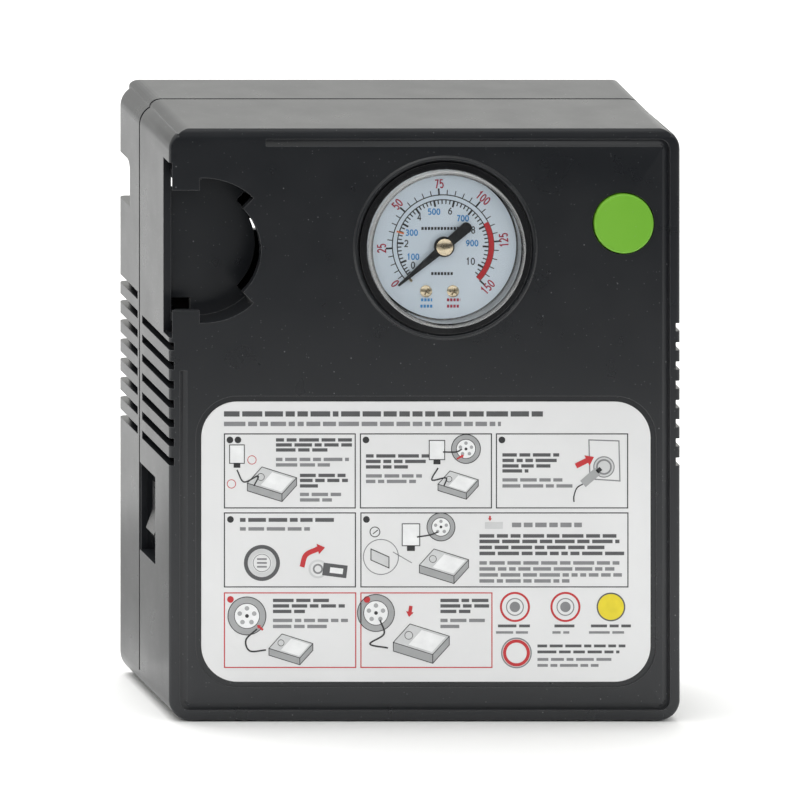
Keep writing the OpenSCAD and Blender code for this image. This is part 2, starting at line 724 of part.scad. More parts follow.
module gauge_lens() color([0.85, 0.92, 0.95, 0.35]) translate([gauge_x, front_y - lens_proud, gauge_z])
    rotate([-90, 0, 0]) rotate_extrude() difference() {
        union() {
            square([lens_r - 1, lens_back_y - front_y + lens_proud]);
            translate([0, 1]) square([lens_r, lens_back_y - front_y + lens_proud - 1]);
            intersection() {
                translate([lens_r - 1, 1]) circle(r = 1);
                square([lens_r, 3]);
            }
        }
        translate([-1, lens_t]) square([lens_r - lens_t + 1, 20]);
    }

module gauge_dial() color("white") difference() {
    rod_y(gauge_x, gauge_z, dial_r, dial_y, dial_y + dial_t);
    rod_y(gauge_x, gauge_z, pointer_shaft_r + 0.3, dial_y - 1, dial_y + 1);
    for (x = dial_screw_xs) rod_y(x, dial_screw_z, 0.85, dial_y - 1, dial_y + 1);
    rod_y(stop_x, stop_z, 0.4, dial_y - 1, dial_y + 1);
}

module dial_screws() color(brass) for (x = dial_screw_xs) difference() {
    union() {
        rod_y(x, dial_screw_z, 0.8, dial_y - eps, dial_y + 4);
        dome_y(x, dial_screw_z, 1.7, dial_y, 0.3, 0.5);
    }
    for (a = [30, 120])
        translate([x, dial_y - 0.8, dial_screw_z]) rotate([0, a, 0]) cube([0.45, 0.9, 2.2], center = true);
}

// The pointer rests against this pin at zero
module pointer_stop() color(brass) rod_y(stop_x, stop_z, 0.4, pointer_y - 0.4, dial_y + dial_t);

module gauge_pointer() color([0.08, 0.08, 0.08]) translate([gauge_x, 0, gauge_z]) difference() {
    union() {
        along_y(pointer_y, pointer_y + pointer_t) rotate(pointer_zero)
            polygon([[-tail_len, tail_r], [0, pointer_half_w], [pointer_len, tip_half_w],
                [pointer_len, -tip_half_w], [0, -pointer_half_w], [-tail_len, -tail_r]]);
        rod_y(-tail_len * cos(pointer_zero), -tail_len * sin(pointer_zero), tail_r + 0.05,
            pointer_y, pointer_y + pointer_t);
        rod_y(0, 0, hub_r + 0.5, pointer_y, pointer_y + pointer_t);
    }
    rod_y(0, 0, pointer_shaft_r, pointer_y - 1, pointer_y + 1);
}

module pointer_shaft() color(brass) {
    rod_y(gauge_x, gauge_z, pointer_shaft_r, pointer_y - 0.9, stem_y - 1);
    dome_y(gauge_x, gauge_z, hub_r, pointer_y, 0.5, 0.6);
    rod_y(gauge_x, gauge_z, 1.6, dial_y + dial_t + 1, dial_y + dial_t + 3.5);
}

module bourdon_tube() color(brass) translate([gauge_x, stem_y + 3, gauge_z]) rotate([90, 0, 0])
    rotate([0, 0, -80]) rotate_extrude(angle = 250) translate([14, 0]) circle(r = 1.7);

module gauge_stem() color(brass) {
    difference() {
        union() {
            // block inside the case that carries the dial and the tube
            box(gauge_x - 8, gauge_x + 6, dial_y + dial_t, gauge_back_y - gauge_wall - 0.1,
                gauge_z - 18, gauge_z - 9.5);
            rod_z(gauge_x, stem_y, 4.8, block_z1, gauge_z - 12);
        }
        rod_z(gauge_x, stem_y, 1.5, block_z1 - 1, gauge_z - 14);
        for (x = dial_screw_xs) rod_y(x, dial_screw_z, 0.8, dial_y, dial_y + 5);
        // seat of the curved tube's fixed end
        translate([gauge_x, stem_y + 3, gauge_z]) rotate([90, 0, 0])
            rotate([0, 0, -81]) rotate_extrude(angle = 252) translate([14, 0]) circle(r = 1.75);
    }
    // bridge that carries the pointer shaft
    difference() {
        box(gauge_x - 3.5, gauge_x + 3.5, stem_y - 2, stem_y, gauge_z - 10, gauge_z + 4);
        rod_y(gauge_x, gauge_z, pointer_shaft_r + run_gap, stem_y - 3, stem_y + 1);
    }
}

// ---- deflate button ---------------------------------------------------------
module deflate_button() color([0.45, 0.69, 0.22]) translate([button_x, front_y - button_proud, button_z])
    rotate([-90, 0, 0]) rotate_extrude() difference() {
        union() {
            square([button_r - 0.6, wall_t + button_proud + 1.2]);
            translate([0, 0.6]) square([button_r, wall_t + button_proud + 0.6]);
            intersection() {
                translate([button_r - 0.6, 0.6]) circle(r = 0.6);
                square([button_r, 2]);
            }
            translate([0, wall_t + button_proud + 0.2]) square([guide_r - 0.3, 1]);
        }
        translate([button_boss_r, button_cap_t]) square([button_r - button_cap_t - button_boss_r, 10]);
        translate([-1, button_cap_t]) square([1 + plunger_r, 10]);
    }

module valve_plunger() color(steel)
    rod_y(button_x, button_z, plunger_r, front_y - button_proud + button_cap_t, valve_y0 + valve_flange_t + 1.5);

module button_spring() color(steel) {
    y0 = front_y - button_proud + button_cap_t + spring_wire_r + 0.05;
    y1 = valve_y0 - spring_wire_r - 0.05;
    n = spring_turns * 12;
    wire([for (i = [0:n]) [button_x + spring_r * cos(30 * i), y0 + (y1 - y0) * i / n,
        button_z + spring_r * sin(30 * i)]], spring_wire_r, 6);
}

module valve_body() color(brass) difference() {
    union() {
        rod_y(button_x, button_z, guide_r + guide_t, valve_y0, valve_y0 + valve_flange_t);
        rod_y(button_x, button_z, 5.5, valve_y0, valve_y0 + valve_body_len);
        rod_z(button_x, valve_port_y, port_r, button_z - 5 - port_len, button_z - 4);
    }
    rod_y(button_x, button_z, plunger_r + run_gap, valve_y0 - 1, valve_y0 + valve_flange_t + button_travel + 2.5);
    rod_z(button_x, valve_port_y, port_bore_r, button_z - 6 - port_len, button_z);
}

// ---- switch ------------------------------------------------------------------
module switch_body() color([0.1, 0.1, 0.1]) difference() {
    union() {
        box(pocket_floor_x - bezel_t, pocket_floor_x, switch_y - rocker_w / 2 - bezel_over,
            switch_y + rocker_w / 2 + bezel_over, switch_z - rocker_len / 2 - bezel_over,
            switch_z + rocker_len / 2 + bezel_over);
        box(pocket_floor_x - eps, pocket_floor_x + switch_depth, switch_y - rocker_w / 2 - 0.8,
            switch_y + rocker_w / 2 + 0.8, switch_z - rocker_len / 2 - 0.8, switch_z + rocker_len / 2 + 0.8);
    }
    box(pocket_floor_x - 3, pocket_floor_x + 8, switch_y - rocker_w / 2 - rocker_gap / 2,
        switch_y + rocker_w / 2 + rocker_gap / 2, switch_z - rocker_len / 2 - rocker_gap,
        switch_z + rocker_len / 2 + rocker_gap);
    rod_y(pivot_x, switch_z, pivot_r + run_gap, switch_y - rocker_w / 2 - 0.7, switch_y + rocker_w / 2 + 0.7);
}

// Rocker outline about its pivot: x out of the case is negative, tilted to its rest side
module switch_rocker() color([0.16, 0.16, 0.17]) {
    half = rocker_len / 2 * cos(rocker_tilt) - 0.3;
    translate([pivot_x, 0, switch_z]) rotate([0, rocker_tilt, 0]) {
        along_y(switch_y - rocker_w / 2, switch_y + rocker_w / 2)
            polygon([[-3.5, half], [-2.5, 0], [-3.5, -half], [0.2, -half + 0.4], [2.4, -2.2],
                [2.4, 2.2], [0.2, half - 0.4]]);
        rod_y(0, 0, pivot_r, switch_y - rocker_w / 2 - 0.6, switch_y + rocker_w / 2 + 0.6);
    }
}

module switch_terminals() color(brass) for (s = [-1, 1])
    box(pocket_floor_x + switch_depth, pocket_floor_x + switch_depth + terminal_len, switch_y - 2, switch_y + 2,
        switch_z + s * 4 - 0.4, switch_z + s * 4 + 0.4);

// ---- motor --------------------------------------------------------------------
module motor_can() color(steel) difference() {
    rod_z(motor_x, 0, motor_r, motor_z0, motor_z1);
    rod_z(motor_x, 0, motor_r - can_t, motor_z0 - 1, motor_z1 - can_t);
    rod_z(motor_x, 0, motor_bush_r, motor_z1 - 3, motor_z1 + 1);
    for (s = [-1, 1]) rod_z(motor_x, s * 12.5, screw_r - 0.05, motor_z1 - 5, motor_z1 + 1);
}

module motor_magnets() color([0.25, 0.25, 0.27]) for (a = [-55, 125])
    translate([motor_x, 0, motor_z0 + 9]) rotate([0, 0, a]) rotate_extrude(angle = 110)
        translate([motor_r - can_t - 2.85, 0]) square([2.8, motor_len - 14]);

module motor_end_cap() color([0.85, 0.85, 0.8]) difference() {
    union() {
        rod_z(motor_x, 0, motor_r, motor_z0 - cap_t, motor_z0);
        rod_z(motor_x, 0, motor_r - can_t - 0.1, motor_z0 - eps, motor_z0 + 2);
    }
    rod_z(motor_x, 0, motor_bush_r, motor_z0 - cap_t - 1, motor_z0 + 3);
}

module motor_bushes() color([0.7, 0.5, 0.3])
    for (z = [[motor_z0 - cap_t, motor_z0 + 2], [motor_z1 - motor_bush_len, motor_z1]])
        difference() {
            rod_z(motor_x, 0, motor_bush_r, z[0], z[1]);
            rod_z(motor_x, 0, shaft_r + run_gap, z[0] - 1, z[1] + 1);
        }

module motor_brushes() color([0.2, 0.2, 0.2]) for (s = [-1, 1])
    box(min(motor_x + s * 4.5, motor_x + s * 11), max(motor_x + s * 4.5, motor_x + s * 11),
        -2, 2, motor_z0 + 2, motor_z0 + 5);

module motor_terminals() color(brass) for (s = [-1, 1])
    box(motor_x + s * 9 - 1.5, motor_x + s * 9 + 1.5, -0.4, 0.4, motor_z0 - cap_t - 3, motor_z0 - cap_t);

module motor_shaft() color(steel) rod_z(motor_x, 0, shaft_r, motor_z0 - cap_t + 0.5, gear_z1);

module motor_armature() color([0.55, 0.56, 0.58]) difference() {
    rod_z(motor_x, 0, arm_r, motor_z0 + 14, motor_z1 - 11);
    rod_z(motor_x, 0, shaft_r, motor_z0, motor_z1);
    for (k = [0:4]) translate([motor_x, 0, motor_z0]) rotate([0, 0, 72 * k + 36]) {
        translate([6, -3, 0]) cube([arm_r - 8, 6, motor_len]);
        translate([6, -0.8, 0]) cube([arm_r, 1.6, motor_len]);
    }
}

module armature_windings() color([0.72, 0.38, 0.18]) for (k = [0:4])
    translate([motor_x, 0, motor_z0 + 9.5]) rotate([0, 0, 72 * k + 36])
        translate([6.1, -2.9, 0]) cube([arm_r - 8.2, 5.8, motor_len - 16]);

module commutator() color([0.8, 0.5, 0.28]) difference() {
    rod_z(motor_x, 0, 4.3, motor_z0 + 2.4, motor_z0 + 9);
    rod_z(motor_x, 0, shaft_r, motor_z0, motor_z0 + 10);
    for (k = [0:4]) translate([motor_x, 0, motor_z0 + 6]) rotate([0, 0, 72 * k])
        translate([4.3, 0, 0]) cube([1.4, 0.5, 10], center = true);
}

module motor_pinion() color(brass) difference() {
    translate([motor_x, 0, gear_z0]) linear_extrude(gear_w) gear_outline(pinion_teeth, gear_module,
        gear_module * (PI / 2 + 0.8 * tan(20)) - backlash,
        gear_module * (pinion_teeth / 2 - 0.9), gear_module * (pinion_teeth / 2 + 1.1));
    rod_z(motor_x, 0, shaft_r, gear_z0 - 1, gear_z1 + 1);
}

module motor_screws() color(steel) for (s = [-1, 1]) {
    rod_z(motor_x, s * 12.5, screw_r, plate_z1 - plate_t - 4, plate_z1 + eps);
    rod_z(motor_x, s * 12.5, 2.6, plate_z1, plate_z1 + 1.8);
}

// ---- frame and crank ------------------------------------------------------------
module frame_plate() color(alu) difference() {
    union() {
        along_z(plate_z0, plate_z1) {
            translate([motor_x, 0]) circle(r = motor_r);
            translate([frame_wall_x0, -head_w / 2]) square([motor_x - frame_wall_x0, head_w]);
        }
        along_x(frame_wall_x0, frame_wall_x1)
            round_rect(-head_w / 2, head_w / 2, bore_z - head_w / 2, bore_z + head_w / 2, 3);
        rod_z(crank_x, 0, bush_r + 2.4, plate_z1 - bush_len - 1, plate_z1);
        for (s = [-1, 1]) along_y(s * (head_w / 2 - 1) - 1, s * (head_w / 2 - 1) + 1)
            polygon([[frame_wall_x1 - eps, plate_z1 - eps], [frame_wall_x1 + 8, plate_z1 - eps],
                [frame_wall_x1 - eps, plate_z1 + 12]]);
    }
    rod_z(motor_x, 0, motor_bush_r + 1, plate_z0 - 1, plate_z1 + 1);
    rod_z(crank_x, 0, bush_r, plate_z1 - bush_len - 2, plate_z1 + 1);
    for (s = [-1, 1]) rod_z(motor_x, s * 12.5, screw_r + 0.1, plate_z0 - 1, plate_z1 + 1);
    rod_x(0, bore_z, bore_r + 1.05, frame_wall_x0 - 1, frame_wall_x1 + 4);
    head_screw_places() rod_x(0, 0, screw_r, frame_wall_x0 - 1, frame_wall_x1 - 1);
}

module head_screw_places() for (y = [-1, 1], z = [-1, 1])
    translate([0, y * head_screw_off, bore_z + z * head_screw_off]) children();

module crank_bush() color([0.7, 0.5, 0.3]) difference() {
    rod_z(crank_x, 0, bush_r, plate_z1 - bush_len, plate_z1);
    rod_z(crank_x, 0, crank_shaft_r + run_gap, plate_z0 - 20, plate_z1 + 1);
}

module drive_gear() color([0.9, 0.88, 0.8]) difference() {
    union() {
        translate([crank_x, 0, gear_z0]) linear_extrude(gear_w) gear_outline(gear_teeth, gear_module,
            gear_module * (PI / 2 - 0.8 * tan(20)) - backlash,
            gear_module * (gear_teeth / 2 - 1.4), gear_out_r);
        rod_z(pin_x, 0, crank_pin_r + 1.6, gear_z1 - eps, boss_top_z);
        rod_z(crank_x, 0, crank_shaft_r + 3, plate_z1 + 0.3, gear_z0 + eps);
    }
    rod_z(crank_x, 0, crank_shaft_r, plate_z1, gear_z1 - 1);
    // thinned web with round openings between hub and rim
    translate([crank_x, 0, gear_z1 - 2]) difference() {
        cylinder(r = gear_out_r - 4, h = 3);
        translate([0, 0, -1]) cylinder(r = 10.5, h = 5);
    }
    for (k = [0:5]) translate([crank_x, 0, 0]) rotate([0, 0, 60 * k + 30]) translate([14.4, 0, 0])
        rod_z(0, 0, 2.6, gear_z0 - 1, gear_z1 + 1);
}

module crank_shaft() color(steel) difference() {
    rod_z(crank_x, 0, crank_shaft_r, plate_z1 - bush_len - 3, gear_z1 - 1);
    difference() {
        rod_z(crank_x, 0, crank_shaft_r + 1, plate_z1 - bush_len - 1.6, plate_z1 - bush_len - 0.8);
        rod_z(crank_x, 0, crank_shaft_r - 0.6, plate_z1 - bush_len - 3, plate_z1 - bush_len + 1);
    }
}

module shaft_clip() color(steel) difference() {
    rod_z(crank_x, 0, crank_shaft_r + 1.8, plate_z1 - bush_len - 1.6, plate_z1 - bush_len - 0.8);
    rod_z(crank_x, 0, crank_shaft_r - 0.6, plate_z1 - bush_len - 2, plate_z1 - bush_len);
    box(crank_x, crank_x + 8, -1.6, 1.6, plate_z1 - bush_len - 2, plate_z1 - bush_len);
}

module connecting_rod() color(alu) difference() {
    union() {
        rod_z(pin_x, 0, big_eye_r, rod_z0, rod_z1);
        rod_z(wrist_x, 0, small_eye_r, rod_z0, rod_z1);
        along_z(rod_z0, rod_z1) polygon([[wrist_x, -2.6], [pin_x, -3.8], [pin_x, 3.8], [wrist_x, 2.6]]);
    }
    rod_z(pin_x, 0, 4, rod_z0 - 1, rod_z1 + 1);
    rod_z(wrist_x, 0, wrist_r + run_gap, rod_z0 - 1, rod_z1 + 1);
    for (z = [[rod_z0 - 1, rod_z0 + 1.5], [rod_z1 - 1.5, rod_z1 + 1]])
        along_z(z[0], z[1]) polygon([[wrist_x + small_eye_r + 2, -1.4], [pin_x - big_eye_r - 2, -2.2],
            [pin_x - big_eye_r - 2, 2.2], [wrist_x + small_eye_r + 2, 1.4]]);
}

module rod_bearing() color(steel) difference() {
    rod_z(pin_x, 0, 4, rod_z0, rod_z1);
    rod_z(pin_x, 0, crank_pin_r, rod_z0 - 1, rod_z1 + 1);
}
module crank_pin() color(steel) rod_z(pin_x, 0, crank_pin_r, rod_z0, rod_z1 + 0.6);

module wrist_pin() color(steel) rod_z(wrist_x, 0, wrist_r, bore_z - wrist_pin_half, bore_z + wrist_pin_half);

module piston() color(alu) difference() {
    rod_x(0, bore_z, piston_r, crown_x, skirt_x);
    box(wrist_x - small_eye_r - 0.3, skirt_x + 1, -bore_r * 0.7, bore_r * 0.7,
        rod_z0 - 0.25, rod_z1 + 0.25);
    rod_z(wrist_x, 0, wrist_r, bore_z - wrist_pin_half, bore_z + wrist_pin_half);
    difference() {
        rod_x(0, bore_z, bore_r + 1, seal_x, seal_x + 1);
        rod_x(0, bore_z, bore_r - 1.3, seal_x - 1, seal_x + 2);
    }
}

module piston_seal() color([0.15, 0.15, 0.15]) difference() {
    rod_x(0, bore_z, bore_r - 0.04, seal_x, seal_x + 1);
    rod_x(0, bore_z, bore_r - 1.3, seal_x - 1, seal_x + 2);
}

module cylinder_barrel() {
    rod_x(0, bore_z, bore_r + 1, cyl_x0, frame_wall_x1);
    rod_x(0, bore_z, bore_r + 4, frame_wall_x0 - 1.6, frame_wall_x0);
    rod_x(0, bore_z, bore_r + 4, cyl_x0, cyl_x0 + 1.6);
    for (i = [1:fin_count]) let (x = cyl_x0 + (frame_wall_x0 - 1.6 - cyl_x0) * i / (fin_count + 1))
        rod_x(0, bore_z, bore_r + 4, x, x + 1);
}
module cylinder_node() color(alu) difference() {
    cylinder_barrel();
    rod_x(0, bore_z, bore_r, cyl_x0 - 1, frame_wall_x1 + 1);
}

module head_outline() round_rect(-head_w / 2, head_w / 2, bore_z - head_w / 2, bore_z + head_w / 2, 3);

module valve_plate() color(steel) difference() {
    along_x(head_x1, cyl_x0) head_outline();
    head_screw_places() rod_x(0, 0, screw_r + 0.1, head_x1 - 1, cyl_x0 + 1);
    for (s = [-1, 1]) rod_x(s * 5, bore_z, 1.2, head_x1 - 1, cyl_x0 + 1);
}

module cylinder_head() color(alu) difference() {
    union() {
        along_x(head_x0, head_x1) head_outline();
        for (s = [-1:1]) box(head_x0 - 3, head_x0 + eps, s * 9 - 0.8, s * 9 + 0.8,
            bore_z - 11, bore_z + 11);
        rod_z(head_port_x, 0, port_r, head_port_z - eps, head_port_z + port_len);
    }
    rod_z(head_port_x, 0, port_bore_r, bore_z, head_port_z + port_len + 1);
    rod_x(0, bore_z, 8, head_x1 - 2, head_x1 + 1);
    head_screw_places() rod_x(0, 0, screw_r + 0.1, head_x0 - 1, head_x1 + 1);
}

module head_screws() color(steel) head_screw_places() difference() {
    union() {
        rod_x(0, 0, screw_r, head_x0 - eps, frame_wall_x1 - 1.2);
        rod_x(0, 0, 2.7, head_x0 - 2, head_x0);
    }
    for (a = [0, 90]) translate([head_x0 - 2, 0, 0]) rotate([a, 0, 0]) cube([1.6, 0.7, 3.4], center = true);
}

// ---- air line ---------------------------------------------------------------------
module air_manifold() color(brass) difference() {
    union() {
        box(gauge_x - block_w / 2, gauge_x + block_w / 2, stem_y - block_d / 2, stem_y + block_d / 2,
            block_z0, block_z1);
        rod_x(stem_y, port_z, port_r, gauge_x - block_w / 2 - port_len, gauge_x + block_w / 2 + port_len);
        rod_y(gauge_x, port_z, port_r, stem_y, stem_y + block_d / 2 + port_len);
    }
    rod_x(stem_y, port_z, port_bore_r, gauge_x - block_w, gauge_x + block_w);
    rod_y(gauge_x, port_z, port_bore_r, stem_y, stem_y + 30);
    rod_z(gauge_x, stem_y, 1.5, port_z, block_z1 + 1);
}

// Routes: a straight lead follows each port, so that the hose sits true on it
hose_lead = 3;
over_z = max(port_z + 13, head_port_z + port_len + hose_lead);
behind_gauge_y = gauge_back_y + hose_r + 5;
left_port_x = gauge_x - block_w / 2 - port_len;
right_port_x = gauge_x + block_w / 2 + port_len;
rear_port_y = stem_y + block_d / 2 + port_len;
valve_port_z = button_z - 5 - port_len;
head_hose_route = [[head_port_x, 0, head_port_z + 0.5], [head_port_x, 0, head_port_z + port_len],
    [head_port_x, 0, head_port_z + port_len + hose_lead], [head_port_x + 3, -4, over_z],
    [head_port_x + 11, -10, over_z], [left_port_x - 11.8, stem_y, over_z - 8],
    [left_port_x - hose_lead, stem_y, port_z], [left_port_x, stem_y, port_z],
    [left_port_x + port_len - 0.5, stem_y, port_z]];
module head_hose() color([0.13, 0.13, 0.13]) hose(smooth_path(head_hose_route, 4), hose_r, hose_bore_r);

valve_hose_route = [[right_port_x - port_len + 0.5, stem_y, port_z], [right_port_x, stem_y, port_z],
    [right_port_x + hose_lead, stem_y, port_z], [right_port_x + 14, stem_y, port_z + 2],
    [button_x - 7, valve_port_y - 3, port_z + 9], [button_x, valve_port_y, valve_port_z - 2 * hose_lead],
    [button_x, valve_port_y, valve_port_z - hose_lead], [button_x, valve_port_y, valve_port_z],
    [button_x, valve_port_y, valve_port_z + port_len - 1]];
module valve_hose() color([0.13, 0.13, 0.13]) hose(smooth_path(valve_hose_route, 4), hose_r, hose_bore_r);

outlet_hose_route = [[gauge_x, rear_port_y - port_len + 0.5, port_z], [gauge_x, rear_port_y, port_z],
    [gauge_x, rear_port_y + hose_lead, port_z], [gauge_x - 4, behind_gauge_y + 2.5, port_z + 5],
    [gauge_x - 12, behind_gauge_y, port_z + 15], [outlet_x + 4, behind_gauge_y - 4.2, outlet_z - 7],
    [outlet_x, behind_gauge_y - 4, outlet_z - 1], [outlet_x, bay_back_y - port_len - hose_lead, outlet_z],
    [outlet_x, bay_back_y - port_len, outlet_z], [outlet_x, bay_back_y - 1, outlet_z]];
module outlet_hose() color([0.13, 0.13, 0.13]) hose(smooth_path(outlet_hose_route, 4), hose_r, hose_bore_r);

module outlet_barb() color(brass) translate([outlet_x, bay_back_y, outlet_z]) rotate([-90, 0, 0]) difference() {
    union() {
        translate([0, 0, -port_len]) cylinder(r = port_r, h = port_len);
        translate([0, 0, -0.9]) cylinder(r = barb_r + 2.4, h = 0.9);
        cylinder(r = barb_r + barb_step, h = wall_t);
        translate([0, 0, wall_t]) cylinder(r = barb_r + 2.4, h = 1.5);
        translate([0, 0, wall_t + 1.5]) cylinder(r = barb_r, h = 8.5);
        for (k = [0:2]) translate([0, 0, wall_t + 3.5 + 2.4 * k])
            cylinder(r1 = barb_r + 0.5, r2 = barb_r, h = 1.8);
    }
    translate([0, 0, -port_len - 1]) cylinder(r = port_bore_r, h = 40);
}

module cord_gland() color([0.1, 0.1, 0.1]) translate([gland_x, bay_back_y, outlet_z]) rotate([-90, 0, 0])
    difference() {
        union() {
            translate([0, 0, -1.2]) cylinder(r = 5.2, h = 1.2);
            cylinder(r = gland_neck_r, h = wall_t);
            translate([0, 0, wall_t]) cylinder(r = 5.6, h = 1.6);
            translate([0, 0, wall_t + 1.6]) cylinder(r1 = 4.2, r2 = 3.2, h = 7);
        }
        translate([0, 0, -2]) cylinder(r = gland_bore_r, h = 20);
    }

terminal_x = pocket_floor_x + switch_depth + terminal_len - 1;
wire_y = bay_back_y - 2.8;
wire_end_y = bay_back_y - 2.4;
motor_wire_z = motor_z0 - cap_t - 4;
wire_routes = [
    [[terminal_x, switch_y + 1, switch_z + 5.4], [pocket_floor_x + 19, wire_y - 6, switch_z + 13],
        [pocket_floor_x + 16, wire_y - 1, head_port_z - 17], [pocket_floor_x + 19, wire_y, head_port_z + 3],
        [-30, wire_y, bay_z0 - 5], [-4, wire_y, bay_z0 - 5], [gland_x - 16, wire_y, bay_z0],
        [gland_x - 4, wire_y - 3, outlet_z - 10], [gland_x - 1.1, wire_y - 2.5, outlet_z], [gland_x - 1.1, wire_end_y, outlet_z]],
    [[terminal_x, switch_y, switch_z - 5.4], [-46, -3, 38], [-34, 0, 18], [-8, 0, 6],
        [14, 0, 4.4], [motor_x - 9.6, 0, motor_wire_z]],
    [[motor_x + 9.6, 0, motor_wire_z], [motor_x + motor_r - 3, 1, motor_wire_z + 0.2],
        [motor_x + motor_r + 2.5, 3, motor_wire_z + 3], [motor_x + motor_r + 4, 6, motor_wire_z + 12],
        [side_in - 10.5, wire_y - 1, 26], [side_in - 9.8, wire_y, 60], [side_in - 11.8, wire_y, bay_z0 - 12],
        [gland_x + 18, wire_y - 1, bay_z0 + 12], [gland_x + 4, wire_y - 5, outlet_z - 1], [gland_x + 1.1, wire_y - 2.5, outlet_z],
        [gland_x + 1.1, wire_end_y, outlet_z]]];
module wiring() color([0.7, 0.1, 0.08]) for (p = wire_routes) wire(smooth_path(p, 4), wire_r);

front_shell();
rear_shell();
front_label();
case_screws();
gauge_case();
gauge_lens();
gauge_dial();
dial_screws();
pointer_stop();
gauge_pointer();
pointer_shaft();
bourdon_tube();
gauge_stem();
deflate_button();
valve_plunger();
button_spring();
valve_body();
switch_body();
switch_rocker();
switch_terminals();
motor_can();
motor_magnets();
motor_end_cap();
motor_bushes();
motor_brushes();
motor_terminals();
motor_shaft();
motor_armature();
armature_windings();
commutator();
motor_pinion();
motor_screws();
frame_plate();
crank_bush();
drive_gear();
crank_shaft();
shaft_clip();
connecting_rod();
rod_bearing();
crank_pin();
wrist_pin();
piston();
piston_seal();
cylinder_node();  // cylinder
valve_plate();
cylinder_head();
head_screws();
air_manifold();
head_hose();
valve_hose();
outlet_hose();
outlet_barb();
cord_gland();
wiring();
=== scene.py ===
import math
import bpy
import numpy as np
from mathutils import Matrix, Vector


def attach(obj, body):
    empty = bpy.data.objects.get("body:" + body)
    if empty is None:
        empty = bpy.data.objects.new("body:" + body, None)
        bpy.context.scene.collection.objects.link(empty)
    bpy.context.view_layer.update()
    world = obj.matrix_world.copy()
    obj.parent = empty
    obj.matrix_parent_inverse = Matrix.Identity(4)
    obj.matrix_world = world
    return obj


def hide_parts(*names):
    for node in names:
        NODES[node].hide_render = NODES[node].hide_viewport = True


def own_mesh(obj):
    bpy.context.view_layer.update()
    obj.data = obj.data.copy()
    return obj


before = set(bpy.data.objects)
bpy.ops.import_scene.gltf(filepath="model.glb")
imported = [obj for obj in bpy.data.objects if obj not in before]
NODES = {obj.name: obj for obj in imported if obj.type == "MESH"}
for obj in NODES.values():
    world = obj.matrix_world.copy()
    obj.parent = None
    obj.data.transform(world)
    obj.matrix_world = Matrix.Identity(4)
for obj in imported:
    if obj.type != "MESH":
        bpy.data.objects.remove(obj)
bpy.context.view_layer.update()        # nodes of the imported model, placed in world space
MM = 0.001
GAUGE = (5.8, 135.2)     # x and z of the gauge axis, in millimetres
FRONT_Y = -29.0          # front plane of the case
LABEL_Y = -28.9          # front faces of the label and of the dial
DIAL_Y = -26.0
HOUSING = "housing"


# ---- camera ------------------------------------------------------------------
# Oblique view: the front stays parallel to the picture, and depth goes up and to
# the left, a quarter of its real length each way.  The shear sits in the parent
# inverse of the camera, so other views, which unparent it, are plain ones.
DEPTH_SHARE = 0.25
PICTURE = 800            # width and height of the picture, in pixels
PX_PER_MM = 3.5          # at the front plane
ORIGIN_PX = (425, 721)   # where x = 0, z = 0 of the front plane lies
CAMERA_DIST = 3.0


def mm_at(px, py):
    """Point (x, z) of the front plane at a picture column and row."""
    return ((px - ORIGIN_PX[0]) / PX_PER_MM, (ORIGIN_PX[1] - py) / PX_PER_MM)


def link(o):
    """Puts a new object in the scene and returns it."""
    bpy.context.scene.collection.objects.link(o)
    return o


def make_camera():
    """Parallel-view camera whose back axis is (-k, -1, k), aimed at the middle of the picture."""
    data = bpy.data.cameras.new("camera")
    cam = link(bpy.data.objects.new("camera", data))
    rig = link(bpy.data.objects.new("camera_rig", None))
    k = DEPTH_SHARE
    back = Vector((-k, -1, k)).normalized()
    x, z = mm_at(PICTURE / 2, PICTURE / 2)
    aim = Vector((x, FRONT_Y, z)) * MM
    eye = aim + back * CAMERA_DIST
    cam.parent = rig
    cam.matrix_parent_inverse = Matrix((
        (1, 0, back.x, eye.x), (0, 0, back.y, eye.y), (0, 1, back.z, eye.z), (0, 0, 0, 1)))
    data.type, data.ortho_scale = "ORTHO", PICTURE / PX_PER_MM * MM
    data.clip_start, data.clip_end = 0.05, 60
    bpy.context.scene.camera = cam


make_camera()


